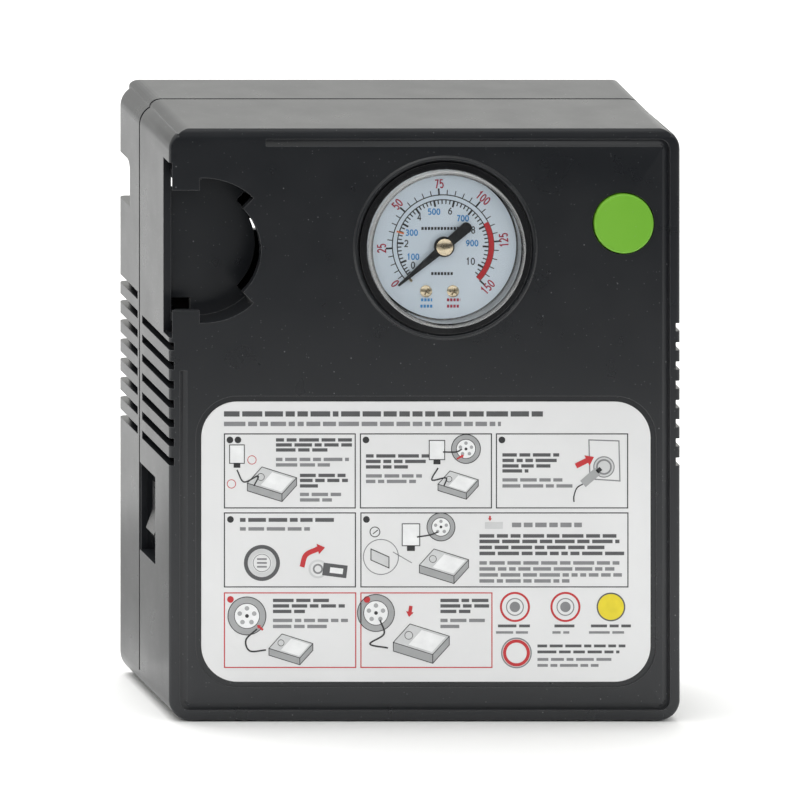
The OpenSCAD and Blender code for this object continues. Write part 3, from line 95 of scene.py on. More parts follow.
# ---- material helpers ----------------------------------------------------------
class Mat:
    """A node material: a Principled shader plus small procedural helpers in Object coordinates."""

    def __init__(self, name, color, rough, metal=0.0, **sockets):
        self.m = bpy.data.materials.new(name)
        self.m.use_nodes = True
        self.t = self.m.node_tree
        self.bsdf = self.t.nodes["Principled BSDF"]
        self.pos = self.new("ShaderNodeTexCoord").outputs["Object"]
        self.set("Base Color", (*color, 1))
        self.set("Roughness", rough)
        self.set("Metallic", metal)
        for k, v in sockets.items():
            self.set(k.replace("_", " "), v)

    def new(self, kind, **props):
        n = self.t.nodes.new(kind)
        for k, v in props.items():
            setattr(n, k, v)
        return n

    def set(self, socket, value):
        if hasattr(value, "links"):
            self.t.links.new(value, self.bsdf.inputs[socket])
        else:
            self.bsdf.inputs[socket].default_value = value

    def feed(self, node, socket, value):
        if hasattr(value, "links"):
            self.t.links.new(value, node.inputs[socket])
        else:
            node.inputs[socket].default_value = value

    def noise(self, scale, detail=2.0, stretch=(1, 1, 1)):
        n = self.new("ShaderNodeTexNoise")
        self.feed(n, "Vector", self.stretched(stretch))
        self.feed(n, "Scale", scale)
        self.feed(n, "Detail", detail)
        return n.outputs["Fac"]

    def cloud(self, scale, detail, a, b):
        """Colour that drifts between a and b with the noise."""
        return self.mix(self.ramp(self.noise(scale, detail), 0.35, 0.65), a, b)

    def stretched(self, stretch):
        if stretch == (1, 1, 1):
            return self.pos
        n = self.new("ShaderNodeMapping")
        self.feed(n, "Vector", self.pos)
        n.inputs["Scale"].default_value = stretch
        return n.outputs["Vector"]

    def math(self, op, a, b=0.0):
        n = self.new("ShaderNodeMath", operation=op)
        self.feed(n, 0, a)
        self.feed(n, 1, b)
        return n.outputs[0]

    def ramp(self, value, lo, hi, out_lo=0.0, out_hi=1.0):
        n = self.new("ShaderNodeMapRange", clamp=True)
        names = ("Value", "From Min", "From Max", "To Min", "To Max")
        for k, v in zip(names, (value, lo, hi, out_lo, out_hi)):
            self.feed(n, k, v)
        return n.outputs["Result"]

    def mix(self, fac, a, b):
        n = self.new("ShaderNodeMix", data_type="RGBA")
        self.feed(n, 0, fac)
        for i, v in ((6, a), (7, b)):
            self.feed(n, i, (*v, 1) if isinstance(v, tuple) else v)
        return n.outputs[2]

    def specks(self, cells, size, share):
        """Small round spots: one per Voronoi cell of 1/cells metres, kept in a share of the cells."""
        n = self.new("ShaderNodeTexVoronoi")
        self.feed(n, "Vector", self.pos)
        self.feed(n, "Scale", cells)
        near = self.ramp(n.outputs["Distance"], size, size * 0.4)
        kept = self.math("LESS_THAN", self.separate(n.outputs["Color"]), share)
        return self.math("MULTIPLY", near, kept)

    def separate(self, color):
        n = self.new("ShaderNodeSeparateColor")
        self.t.links.new(color, n.inputs[0])
        return n.outputs[0]

    def bump(self, height, depth_mm, strength=1.0, under=None):
        n = self.new("ShaderNodeBump")
        self.feed(n, "Height", height)
        n.inputs["Strength"].default_value = strength
        n.inputs["Distance"].default_value = depth_mm * MM
        if under is not None:
            self.t.links.new(under, n.inputs["Normal"])
        self.set("Normal", n.outputs["Normal"])

    def wave(self, direction, scale):
        """Even bands across a direction."""
        n = self.new("ShaderNodeTexWave", wave_type="BANDS", bands_direction=direction)
        self.feed(n, "Vector", self.pos)
        self.feed(n, "Scale", scale)
        return n.outputs["Fac"]

    def bevel(self, radius_mm):
        n = self.new("ShaderNodeBevel", samples=6)
        n.inputs["Radius"].default_value = radius_mm * MM
        return n.outputs["Normal"]

    def outer_edges(self, rounded, reach_mm):
        """1 where the rounded normal leaves the true one and nothing lies close in front."""
        flat = self.new("ShaderNodeNewGeometry").outputs["Normal"]
        dot = self.new("ShaderNodeVectorMath", operation="DOT_PRODUCT")
        self.feed(dot, 0, rounded)
        self.feed(dot, 1, flat)
        open_air = self.new("ShaderNodeAmbientOcclusion", samples=6)
        open_air.inputs["Distance"].default_value = reach_mm * MM
        return self.math("MULTIPLY", self.ramp(dot.outputs["Value"], 0.995, 0.90),
                         self.ramp(open_air.outputs["AO"], 0.45, 0.7))


DUST = (0.32, 0.32, 0.33)


def moulded(name, dark, light, rough, grain=3200, depth=0.012, dust=0.0, edge=0.0, painted_edge_highlight=None):
    """Moulded plastic: mottled colour and fine grain, with dust and a painted highlight on outer edges
    if asked.
    """
    m = Mat(name, dark, rough)
    color = m.cloud(38, 4, dark, light)
    if dust:
        spots = m.specks(420, 0.10, dust)
        fine = m.specks(1150, 0.16, dust * 0.8)
        lint = m.math("MAXIMUM", spots, fine)
        color = m.mix(m.math("MULTIPLY", lint, 0.5), color, DUST)
    rounded = m.bevel(edge) if edge else None
    # Painted highlight: outer edges are mixed towards a paler grey, standing in for light caught on
    # the edges.
    if painted_edge_highlight:
        color = m.mix(m.math("MULTIPLY", m.outer_edges(rounded, 1.2), 0.75), color, painted_edge_highlight)
    m.set("Base Color", color)
    m.set("Roughness", m.ramp(m.noise(90, 3), 0.3, 0.7, rough - 0.02, rough + 0.03))
    m.bump(m.noise(grain, 2), depth, 1.0, rounded)
    return m.m


def turned(name, color, rough, scale=(1, 1, 1), tint=None):
    """Metal with fine tool marks: stretched noise in roughness, bump and a slight tint."""
    m = Mat(name, color, rough, 1.0)
    lines = m.noise(1400, 3, scale)
    tint = tint or tuple(c * 0.86 for c in color)
    m.set("Base Color", m.mix(m.ramp(m.noise(160, 3), 0.35, 0.7), color, tint))
    m.set("Roughness", m.ramp(lines, 0.3, 0.7, rough - 0.06, rough + 0.10))
    m.bump(lines, 0.006, 0.6)
    return m.m


def rubber(name, color, rough=0.62):
    """Dull rubber with a paler bloom and a fine grain."""
    m = Mat(name, color, rough)
    m.set("Base Color", m.cloud(220, 4, color, tuple(c * 1.7 for c in color)))
    m.set("Roughness", m.ramp(m.noise(500, 3), 0.3, 0.7, rough - 0.06, rough + 0.08))
    m.bump(m.noise(2600, 2), 0.01, 0.8)
    return m.m


LENS_RIM = (21.2, 22.2)      # radii over which the lens turns milky, in millimetres


def clear_lens():
    """Clear plastic whose moulded rim, past a radius from the gauge axis, is a little milky."""
    m = Mat("lens_clear", (0.97, 0.98, 0.985), 0.012, 0.0, IOR=1.49)
    split = m.new("ShaderNodeSeparateXYZ")
    m.feed(split, 0, m.pos)
    squares = []
    for axis, centre in zip("XZ", GAUGE):
        d = m.math("SUBTRACT", split.outputs[axis], centre * MM)
        squares.append(m.math("MULTIPLY", d, d))
    radius = m.math("SQRT", m.math("ADD", *squares))
    rim = m.ramp(radius, LENS_RIM[0] * MM, LENS_RIM[1] * MM)
    m.set("Transmission Weight", m.math("SUBTRACT", 1.0, m.math("MULTIPLY", rim, 0.30)))
    m.set("Roughness", m.math("ADD", 0.012, m.math("MULTIPLY", rim, 0.22)))
    m.bump(m.noise(120, 2), 0.004, 0.25)
    return m.m


def dial_paint():
    """Matt paint of a pale, cool white."""
    m = Mat("dial_white", (0.72, 0.80, 0.87), 0.32)
    m.set("Base Color", m.cloud(60, 3, (0.70, 0.785, 0.865), (0.745, 0.82, 0.89)))
    m.bump(m.noise(1800, 2), 0.003, 0.5)
    return m.m


def label_film():
    """Printed film, uneven in tone and gloss."""
    m = Mat("label_film", (0.80, 0.805, 0.81), 0.36)
    m.set("Base Color", m.cloud(30, 3, (0.775, 0.775, 0.78), (0.81, 0.81, 0.815)))
    m.set("Roughness", m.ramp(m.noise(140, 3), 0.3, 0.7, 0.31, 0.42))
    m.bump(m.noise(900, 2), 0.004, 0.4)
    return m.m


def laminated():
    """Stacked steel sheets."""
    m = Mat("steel_laminated", (0.33, 0.34, 0.36), 0.42, 1.0)
    sheets = m.wave("Z", 330.0)
    m.set("Base Color", m.mix(sheets, (0.25, 0.26, 0.28), (0.46, 0.47, 0.49)))
    m.bump(sheets, 0.05, 0.8)
    return m.m


def wound_copper():
    """Lacquered wire, side by side."""
    m = Mat("copper", (0.62, 0.25, 0.10), 0.28, 1.0, Coat_Weight=0.6)
    turns = m.wave("X", 520.0)
    m.set("Base Color", m.mix(turns, (0.36, 0.12, 0.05), (0.75, 0.34, 0.15)))
    m.bump(turns, 0.08, 0.9)
    return m.m


def grey(value, blue=0.0):
    return (value, value, value + blue)


# name: dark, light, roughness, grain, depth, dust, bevel and colour of the painted edge highlight
MOULDED = {
    "case_black": ((0.0112, 0.0124, 0.0150), (0.0126, 0.0138, 0.0162), 0.29, 2600, 0.006, 0.16, 0.25,
                   grey(0.10, 0.005)),
    "gauge_black": (grey(0.008, 0.001), grey(0.011, 0.001), 0.20, 1500, 0.003, 0.05, 0.15),
    "pointer_black": (grey(0.012, 0.001), grey(0.016, 0.001), 0.34, 2400, 0.004),
    "button_green": ((0.175, 0.475, 0.026), (0.195, 0.50, 0.034), 0.42, 2400, 0.008, 0.10, 0.15),
    "switch_black": (grey(0.010, 0.001), grey(0.014, 0.001), 0.38, 2400, 0.006),
    "rocker_black": (grey(0.013, 0.002), grey(0.018, 0.002), 0.26, 2000, 0.004),
    "ferrite": (grey(0.05, 0.005), grey(0.085, 0.005), 0.66, 900, 0.03),
    "nylon_white": ((0.70, 0.68, 0.60), (0.77, 0.75, 0.68), 0.44, 1500, 0.008),
    "carbon": (grey(0.02), grey(0.04), 0.55, 1200, 0.02),
    "wire_red": ((0.42, 0.018, 0.012), (0.50, 0.03, 0.02), 0.30, 900, 0.01),
}
# name: colour, roughness, stretch of the tool marks, tint
TURNED = {
    "steel_zinc": ((0.58, 0.59, 0.60), 0.30, (1, 0.15, 1), (0.50, 0.50, 0.47)),
    "brass_bright": ((0.72, 0.60, 0.42), 0.24, (0.3, 1, 0.3)),
    "bronze": ((0.55, 0.36, 0.19), 0.42),
    "steel_bright": ((0.66, 0.67, 0.69), 0.22, (1, 1, 0.08)),
    "aluminium_cast": ((0.56, 0.57, 0.58), 0.48),
    "aluminium_turned": ((0.70, 0.71, 0.72), 0.28, (0.06, 1, 1)),
}
RUBBER = {
    "seal_rubber": (grey(0.016, 0.001), 0.5),
    "hose_rubber": (grey(0.016, 0.001),),
    "gland_rubber": (grey(0.012, 0.001), 0.58),
}
FINISH = {
    "label_film": label_film(),
    "lens_clear": clear_lens(),
    "dial_white": dial_paint(),
    "steel_laminated": laminated(),
    "copper": wound_copper(),
}
for make, table in ((moulded, MOULDED), (turned, TURNED), (rubber, RUBBER)):
    FINISH.update({name: make(name, *row) for name, row in table.items()})


def slot_of(material):
    """The record's slot name: Blender adds a number where a name is taken."""
    return material.name.split(".")[0]


for node in NODES.values():
    for i, old in enumerate(node.data.materials):
        node.data.materials[i] = FINISH[slot_of(old)]
NODES["gauge_lens"].visible_shadow = False


# ---- pieces made from nodes --------------------------------------------------------
def merged(node):
    """Points in millimetres and triangles of a node, with equal points joined."""
    source = NODES[node].data
    co = np.empty(3 * len(source.vertices))
    source.vertices.foreach_get("co", co)
    loops = np.empty(len(source.loops), np.int64)
    source.loops.foreach_get("vertex_index", loops)
    v, same = np.unique(np.round(co.reshape(-1, 3) / MM, 4), axis=0, return_inverse=True)
    faces = same.ravel()[loops].reshape(-1, 3)
    whole = (faces[:, 0] != faces[:, 1]) & (faces[:, 1] != faces[:, 2]) & (faces[:, 2] != faces[:, 0])
    return v, faces[whole]


SHARP = math.radians(32)     # edges turned more than this stay sharp


def stand_in(node, name, v, faces):
    """A housing piece with these points in millimetres that takes the place of a node."""
    slot = slot_of(NODES[node].data.materials[0])
    mesh = bpy.data.meshes.new(name)
    mesh.from_pydata((v * MM).tolist(), [], faces.tolist())
    mesh.materials.append(FINISH[slot])
    mesh.shade_smooth()
    mesh.set_sharp_from_angle(angle=SHARP)
    o = link(bpy.data.objects.new(name, mesh))
    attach(o, HOUSING)
    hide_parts(node)
    return o


def pressed_spring():
    """The spring behind the green button, copied into a housing piece with a mesh of its own."""
    o = stand_in("button_spring", "button_spring_soft", *merged("button_spring"))
    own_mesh(o)


pressed_spring()


# ---- front shell -----------------------------------------------------------------
# All in millimetres.  The case without and with its raised top, and its corners:
HALF_W, CORNER_R = 73.0, 6.0
BODY_TOP, PAD_TOP = 167.7, 169.2
# Wide edge rounding of the node, and the narrow one drawn here
EDGE_R, CRISP_R = 3.0, 1.0
# Insets of the groove's floor and shoulder in the node, and drawn here; the last ones stay
INSETS = ((3.0, 4.0, 4.4, 6.0), (3.0, 3.7, 4.7, 6.0))
GROOVE_DEPTH, WALL = 0.9, 2.2
# Where the vent slots end in the front: in the node, and drawn here
VENT_END, VENT_END_DRAWN = 2.3, 1.3
FAR = 99.0


def inward(x, z, top):
    """Distance in from a rounded rectangle, and the outward unit direction, at each point."""
    cx = np.clip(x, CORNER_R - HALF_W, HALF_W - CORNER_R)
    cz = np.clip(z, CORNER_R, top - CORNER_R)
    d = np.column_stack((x - cx, z - cz))
    out = np.linalg.norm(d, axis=1)
    return np.where(out > 1e-6, CORNER_R - out, FAR), d / np.maximum(out, 1e-6)[:, None]


def crisp_front():
    """Front shell with a tight rim and plain upper corners.  A point of the wide edge rounding, at
    an angle between the side and the front, goes to the narrow rounding of the outer outline at
    the same angle; a point of the front or its groove slides outward from one inset to another."""
    v, faces = merged("front_shell")
    x, t, z = v[:, 0], v[:, 1] - FRONT_Y, v[:, 2]
    body = inward(x, z, BODY_TOP)[0]
    rim, out = inward(x, z, PAD_TOP)
    pad = np.where(np.abs(x) < HALF_W - CORNER_R + 1, PAD_TOP - z, FAR)
    near = (t > -0.01) & (t < EDGE_R + 0.01)
    inset = EDGE_R - np.sqrt(np.clip(EDGE_R ** 2 - (EDGE_R - t) ** 2, 0, None))
    edge, skin = rim < EDGE_R - 0.01, WALL - 0.05
    upper = (np.abs(x) > HALF_W - CORNER_R - 0.5) & (z > BODY_TOP - CORNER_R - 0.7)
    corner = edge & upper & ((t < skin) | (rim < skin))
    on_arc = near & ((np.abs(body - inset) < 0.03) | (np.abs(pad - inset) < 0.03) | corner)
    level = on_arc & edge & (t < 0.1)
    round_in = on_arc & edge & ~level
    angle = np.arctan2(EDGE_R - t, EDGE_R - rim)
    flat = near & (t < GROOVE_DEPTH + 0.01) & (rim > EDGE_R - 0.02) & (rim < INSETS[0][-1])
    flat &= on_arc | (t < 0.01) | (rim < INSETS[0][-2] + 0.01)
    goal = np.where(round_in, CRISP_R * (1 - np.cos(angle)), np.interp(rim, *INSETS))
    goal = np.where(level, np.where(rim < VENT_END + 0.06, VENT_END_DRAWN, rim), goal)
    new = v.copy()
    moved = round_in | flat | level
    new[moved, 0] += ((rim - goal) * out[:, 0])[moved]
    new[moved, 2] += ((rim - goal) * out[:, 1])[moved]
    new[round_in, 1] = FRONT_Y + (CRISP_R * (1 - np.sin(angle)))[round_in]
    new[level | (flat & (t < 0.35)), 1] = FRONT_Y
    stand_in("front_shell", "front_shell_crisp", new, faces)


crisp_front()


def ink(name, color):
    """Printing ink that drifts a little paler in places."""
    m = Mat("ink_" + name, color, 0.4)
    paler = tuple(min(1, c * 1.12 + 0.002) for c in color)
    m.set("Base Color", m.mix(m.ramp(m.noise(300, 3), 0.3, 0.7), color, paler))
    return m.m


INKS = {name: ink(name, color) for name, color in {
    "black": grey(0.022, 0.002),
    "grey": (0.36, 0.365, 0.37),
    "pale": (0.60, 0.605, 0.61),
    "white": (0.83, 0.835, 0.84),
    "word": (0.085, 0.086, 0.09),
    "soft": (0.22, 0.222, 0.23),
    "red": (0.52, 0.024, 0.030),
    "crimson": (0.38, 0.014, 0.045),
    "blue": (0.055, 0.27, 0.60),
    "yellow": (0.76, 0.62, 0.02),
    "orange": (0.72, 0.20, 0.08),
}.items()}


# ---- printed marks ---------------------------------------------------------------
LEVEL = 0.02                 # step from one printed layer to the next, in millimetres


class Print:
    """Flat printed marks on a plane that faces -Y: ribbons, discs and bars, in millimetres."""

    def __init__(self, y_mm):
        self.y = y_mm
        self.verts, self.faces, self.inks = [], [], []
        self.count = 0

    def add(self, xz, faces, ink_name, level):
        """Places points (x, z) at y = plane - one step for each level and keeps their faces."""
        xz = np.asarray(xz, float)
        out = np.column_stack((xz[:, 0], np.full(len(xz), self.y - LEVEL * level), xz[:, 1]))
        self.verts.append(out)
        self.faces += [tuple(int(i) + self.count for i in f) for f in faces]
        self.inks += [ink_name] * len(faces)
        self.count += len(xz)

    def stroke(self, points, width, ink_name, level=1, closed=False):
        """Ribbon along a path: each point moves half a width along its mitre, which is the
        mean of the two side normals divided by the cosine of half the turn."""
        p = np.asarray(points, float)
        if closed:
            p = np.vstack((p, p[:1]))
        d = np.diff(p, axis=0)
        d /= np.maximum(np.linalg.norm(d, axis=1), 1e-9)[:, None]
        before = np.vstack((d[-1:] if closed else d[:1], d))
        after = np.vstack((d, d[:1] if closed else d[-1:]))
        n0 = np.column_stack((-before[:, 1], before[:, 0]))
        n1 = np.column_stack((-after[:, 1], after[:, 0]))
        mitre = n0 + n1
        size = np.linalg.norm(mitre, axis=1)
        mitre = np.where(size[:, None] > 1e-6, mitre / np.maximum(size, 1e-6)[:, None], n0)
        cos_half = np.maximum((mitre * n0).sum(1), 0.35)
        off = mitre * (width / 2 / cos_half)[:, None]
        ring = np.empty((2 * len(p), 2))
        ring[0::2], ring[1::2] = p - off, p + off
        faces = [(2 * i, 2 * i + 2, 2 * i + 3, 2 * i + 1) for i in range(len(p) - 1)]
        self.add(ring, faces, ink_name, level)

    def fill(self, points, ink_name, level=0):
        p = np.asarray(points, float)
        area = np.sum(p[:, 0] * np.roll(p[:, 1], -1) - np.roll(p[:, 0], -1) * p[:, 1])
        self.add(p if area > 0 else p[::-1], [tuple(range(len(p)))], ink_name, level)

    def bar(self, x0, x1, z0, z1, ink_name, level=1):
        self.fill([(x0, z0), (x1, z0), (x1, z1), (x0, z1)], ink_name, level)

    def disc(self, c, r, ink_name, level=0):
        self.fill(arc(c, r, 0, 345, 24), ink_name, level)

    def ring(self, c, r, width, ink_name, level=1):
        self.stroke(arc(c, r, 0, 355, 72), width, ink_name, level, True)

    def number(self, text, at, height, ink_name, turn=0.0, weight=0.15, squeeze=1.0):
        """Digits as ribbons, centred on a point and turned by an angle in degrees."""
        pitch = GLYPH_PITCH * squeeze
        total = pitch * (len(text) - 1) + GLYPH_W * squeeze
        c, s = math.cos(math.radians(turn)), math.sin(math.radians(turn))
        for i, ch in enumerate(text):
            for line in GLYPHS[ch]:
                g = np.asarray(line, float) * (squeeze, 1) + (i * pitch - total / 2, -0.5)
                g = g * height
                g = np.column_stack((g[:, 0] * c - g[:, 1] * s, g[:, 0] * s + g[:, 1] * c)) + at
                self.stroke(g, weight * height, ink_name)

    def make(self, name, slot):
        mesh = bpy.data.meshes.new(name)
        mesh.from_pydata((np.vstack(self.verts) * MM).tolist(), [], self.faces)
        used = sorted(set(self.inks))
        for n in used:
            mesh.materials.append(INKS[n])
        index = np.array([used.index(n) for n in self.inks], np.int32)
        mesh.polygons.foreach_set("material_index", index)
        mesh.update()
        o = link(bpy.data.objects.new(name, mesh))
        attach(o, HOUSING)


def arc(c, r, a0, a1, n, rz=None):
    """Points at c + (r cos a, rz sin a) for a from a0 to a1 degrees."""
    a = np.radians(np.linspace(a0, a1, n))
    return np.column_stack((c[0] + r * np.cos(a), c[1] + (rz or r) * np.sin(a)))


# Digits as lines in a box GLYPH_W wide and 1 high
GLYPH_W, GLYPH_PITCH = 0.6, 0.82
GLYPHS = {
    "0": [arc((0.3, 0.5), 0.27, 90, 450, 25, 0.45)],
    "1": [[(0.12, 0.76), (0.34, 0.95), (0.34, 0.0)]],
    "2": [np.vstack((arc((0.3, 0.69), 0.25, 165, -28, 12, 0.26), [(0.06, 0.06), (0.58, 0.06)]))],
    "3": [np.vstack((arc((0.28, 0.73), 0.23, 150, -80, 12, 0.22),
                     arc((0.28, 0.28), 0.27, 80, -150, 12, 0.23)))],
    "4": [[(0.44, 0.0), (0.44, 0.95), (0.04, 0.27), (0.6, 0.27)]],
    "5": [np.vstack(([(0.54, 0.94), (0.12, 0.94), (0.08, 0.54)],
                     arc((0.29, 0.32), 0.26, 128, -145, 14, 0.28)))],
    "6": [arc((0.3, 0.3), 0.25, 0, 360, 20, 0.26),
          [(0.5, 0.93), (0.3, 0.82), (0.12, 0.58), (0.05, 0.32)]],
    "7": [[(0.05, 0.94), (0.57, 0.94), (0.22, 0.0)]],
    "8": [arc((0.3, 0.72), 0.21, 0, 360, 18, 0.22), arc((0.3, 0.26), 0.25, 0, 360, 20, 0.24)],
    "9": [arc((0.3, 0.67), 0.25, 0, 360, 20, 0.26),
          [(0.55, 0.64), (0.48, 0.38), (0.3, 0.14), (0.1, 0.04)]],
}

# Angles of the outer scale, which is closer together near zero, and outer units in one inner unit
SCALE = ((0, 221.5), (5, 216.5), (10, 209.2), (15, 200.8), (20, 191.8), (25, 183.0),
         (50, 138.5), (75, 94.5), (100, 49.8), (125, 4.5), (150, -43.5))
PER_UNIT = 14.22


def outer(v):
    """Angle in degrees of a value on the outer scale."""
    return float(np.interp(v, *zip(*SCALE)))


def polar(r, a):
    """Point at radius r and angle a round the gauge axis."""
    return (GAUGE[0] + r * math.cos(math.radians(a)), GAUGE[1] + r * math.sin(math.radians(a)))


def on_dial(x, z):
    """Point at an offset from the gauge axis."""
    return (GAUGE[0] + x, GAUGE[1] + z)


def ray(p, a, r0, r1, width, ink_name="black", level=1):
    """Tick from radius r0 to radius r1 at angle a."""
    p.stroke([polar(r0, a), polar(r1, a)], width, ink_name, level)


# Value, radius, angle and turn of the outer numbers
OUTER_NUMBERS = ((0, 17.5, 218.3, 0), (25, 17.6, 182.6, 0), (50, 17.6, 137.9, 0), (75, 17.7, 93.7, 0),
                 (100, 17.8, 50.0, 0), (125, 17.4, 5.2, 180), (150, 17.4, -42.8, 180))
# Value and place of the inner numbers and of the small ones
INNER_NUMBERS = ((0, (-8.6, -5.6)), (2, (-10.5, 0.6)), (4, (-6.8, 8.2)), (6, (2.0, 9.9)),
                 (8, (8.6, 4.5)), (10, (7.8, -4.5)))
SMALL_NUMBERS = ((100, (-8.6, -3.2)), (300, (-9.0, 3.7)), (500, (-2.6, 9.7)), (700, (5.6, 7.8)),
                 (900, (8.3, 0.7)))
# Start, end, height and ink of the rows of short dashes that fill the places of words
DASHES = ((-6.2, 5.0, 4.9, "black"), (-3.4, 2.8, -8.0, "black"),
          (-6.3, -3.1, -15.5, "blue"), (-6.5, -2.9, -17.3, "blue"),
          (1.1, 4.9, -15.5, "crimson"), (1.1, 4.7, -17.3, "crimson"))
FULL, RED_FROM = 150, 112    # outer scale: its end and the start of the red band
MARK = 2.55                  # orange mark, on the inner scale
# Radii of the scale lines and of the red band; start and ends of a minor and a major tick
OUTER_LINE, INNER_LINE, RED_BAND = 14.5, 13.1, 13.8
OUTER_TICK, INNER_TICK = (14.4, (16.0, 16.4)), (13.2, (11.9, 11.3))
INNER_TICKS = 53
DASH, DASH_STEP, DASH_HALF_H = 0.66, 0.92, 0.42


def tick(p, a, major, span, widths):
    """Tick at angle a that ends and widens as a minor or a major one."""
    ray(p, a, span[0], span[1][major], widths[major])


def dial_print():
    """Outer scale 0 to 150 and inner scale 0 to 10, as ticks between radii on rays from the centre."""
    p = Print(DIAL_Y)
    for r in (OUTER_LINE, INNER_LINE):
        p.stroke(arc(GAUGE, r, outer(0), outer(FULL), 90), 0.30, "black")
    for v in range(0, FULL + 1, 5):
        tick(p, outer(v), v % 25 == 0, OUTER_TICK, (0.27, 0.5))
    for i in range(INNER_TICKS):
        tick(p, outer(i / 5 * PER_UNIT), i % 5 == 0, INNER_TICK, (0.34, 0.55))
    p.stroke(arc(GAUGE, RED_BAND, outer(RED_FROM), outer(FULL), 30), 1.45, "red", 2)
    ray(p, outer(MARK * PER_UNIT), 11.7, 13.9, 0.5, "orange", 3)
    for v, r, a, turn in OUTER_NUMBERS:
        p.number(str(v), polar(r, a), 2.5, "crimson", a - 90 + turn, squeeze=0.68)
    for v, at in INNER_NUMBERS:
        p.number(str(v), on_dial(*at), 2.0, "black", squeeze=0.86)
    for v, at in SMALL_NUMBERS:
        p.number(str(v), on_dial(*at), 1.75, "blue", weight=0.2, squeeze=0.86)
    for x0, x1, z, ink_name in DASHES:
        for x in np.arange(x0, x1, DASH_STEP):
            a, low = on_dial(x, z - DASH_HALF_H)
            b, high = on_dial(min(x + DASH, x1), z + DASH_HALF_H)
            p.bar(a, b, low, high, ink_name)
    p.make("dial_print", "dial_white")


dial_print()


# ---- label -----------------------------------------------------------------------
# Laid out in columns and rows of the picture.  Frames by opposite corners, and their dots:
FRAMES = ((224.5, 434, 355.3, 508, "black"), (360.5, 434, 491.5, 508, "black"),
          (496.5, 434, 627.7, 508, "black"), (224.5, 513, 355.5, 587, "black"),
          (361, 513, 628, 587, "black"), (224.5, 593, 355.8, 667.5, "red"),
          (361, 593, 492, 667.5, "red"))
DOTS = ((230, 440, "black"), (238, 440, "black"), (366, 440, "black"), (502, 440, "black"),
        (230.5, 519.5, "black"), (366.5, 519.5, "black"), (230.5, 599.5, "red"), (367, 599.5, "red"))
# Centre and radius of wheels, corner and size of slabs, centre and half width of bottles
WHEELS = ((466, 449, 14.5), (441, 527, 14), (247, 616, 19), (376, 613, 18.5))
SLABS = ((262, 467, 11), (450, 471, 9), (434, 549, 11), (282, 634, 9.8), (410, 624, 12.5))
BOTTLES = ((237, 456, 2.1), (437, 452, 2.2), (411, 537, 2.5))
# Width and places of hoses; tail, point and width of arrows; centres of small rings
HOSES = ((0.4, (237, 470), (244, 482), (258, 476), (254, 486)),
         (0.4, (443, 452), (456, 452), (462, 449)),
         (0.4, (438, 468), (432, 480), (446, 478), (444, 486)),
         (0.4, (417, 537), (430, 535), (438, 532)),
         (0.45, (257, 629), (246, 640), (250, 651), (266, 650)),
         (0.45, (380, 620), (384, 634), (370, 644), (388, 648)))
ARROWS = ((457, 459, 464, 455, 0.5), (576, 466, 594, 457, 1.5), (316, 549.5, 325, 547.5, 1.4),
          (490, 516, 490, 521, 0.5), (263, 630, 257, 625, 0.6), (411, 606, 409, 617, 1.0))
SMALL_RINGS = ((252, 460), (231.5, 484))
# Lines of bars: left column, height of a bar, then (row, length) of the dark and of the pale ones
TEXT = (
    (224, 1.5, ((414, 319),), ()),
    (224, 1.25, (), ((424, 277),)),
    (276, 0.95, ((440, 76), (445, 76), (450, 54)), ((459.5, 73), (465, 54))),
    (300, 0.95, ((475.5, 50), (480.5, 48), (486, 18)), ((494.5, 46), (500, 32))),
    (366, 0.95, ((456, 66), (461.5, 64), (467, 42)), ((476, 56), (481.5, 50))),
    (502.5, 0.95, ((455, 60), (460.5, 58), (466, 50), (471, 26)), ((480, 60), (486, 70))),
    (240, 1.1, ((520, 94),), ()),
    (240, 1.0, (), ((529, 70),)),
    (512, 1.3, (), ((525, 70),)),
    (479.5, 1.0, ((536, 137), (541.5, 140), (547.5, 128), (553.5, 148)),
     ((563, 140), (569, 135), (575, 144), (581, 90))),
    (273, 0.95, ((600.5, 56), (606, 74), (611.5, 32)), ((620.5, 75), (626.5, 55))),
    (440.5, 0.95, ((600.5, 48), (606, 49), (611.5, 30)), ((620.5, 46), (626.5, 22))),
    (498, 0.8, ((626, 34),), ()),
    (496, 0.7, (), ((632.5, 32),)),
    (554.5, 0.8, ((626, 22),), ()),
    (552.5, 0.7, (), ((632.5, 20),)),
    (591, 0.8, ((626, 40),), ()),
    (589, 0.7, (), ((632.5, 38),)),
    (537.5, 0.8, ((646, 88), (652, 82)), ((659.5, 79), (665.5, 64))),
)
rng = np.random.default_rng(7)


def frame_box(p, x0, y0, x1, y1, ink_name):
    """A thin frame between two corners in the picture."""
    (ax, az), (bx, bz) = mm_at(x0, y1), mm_at(x1, y0)
    p.stroke([(ax, az), (bx, az), (bx, bz), (ax, bz)], 0.32, ink_name, 1, True)


def words(p, x0, x1, y, height, ink_name):
    """A line of plain bars of uneven length in place of words, from x0 to x1 at picture row y."""
    (x, z), (end, _) = mm_at(x0, y), mm_at(x1, y)
    while x < end - 0.8:
        w = min(float(rng.uniform(1.6, 6.2)), end - x)
        p.bar(x, x + w, z - height / 2, z + height / 2, ink_name)
        x += w + 0.75


def path(*points):
    """Places of the picture as points of the front plane."""
    return [mm_at(*q) for q in points]


def wheel(p, cx, cy, r):
    """A plain wheel seen from the front: tyre ring, rim and five oval openings."""
    c = mm_at(cx, cy)
    r /= PX_PER_MM
    p.disc(c, r, "grey", 1)
    p.ring(c, r, 0.22, "black", 3)
    p.disc(c, r * 0.66, "white", 2)
    p.ring(c, r * 0.66, 0.18, "black", 3)
    for k in range(5):
        a = math.radians(72 * k + 90)
        p.disc((c[0] + r * 0.4 * math.cos(a), c[1] + r * 0.4 * math.sin(a)), r * 0.12, "grey", 3)
    p.disc(c, r * 0.1, "black", 3)


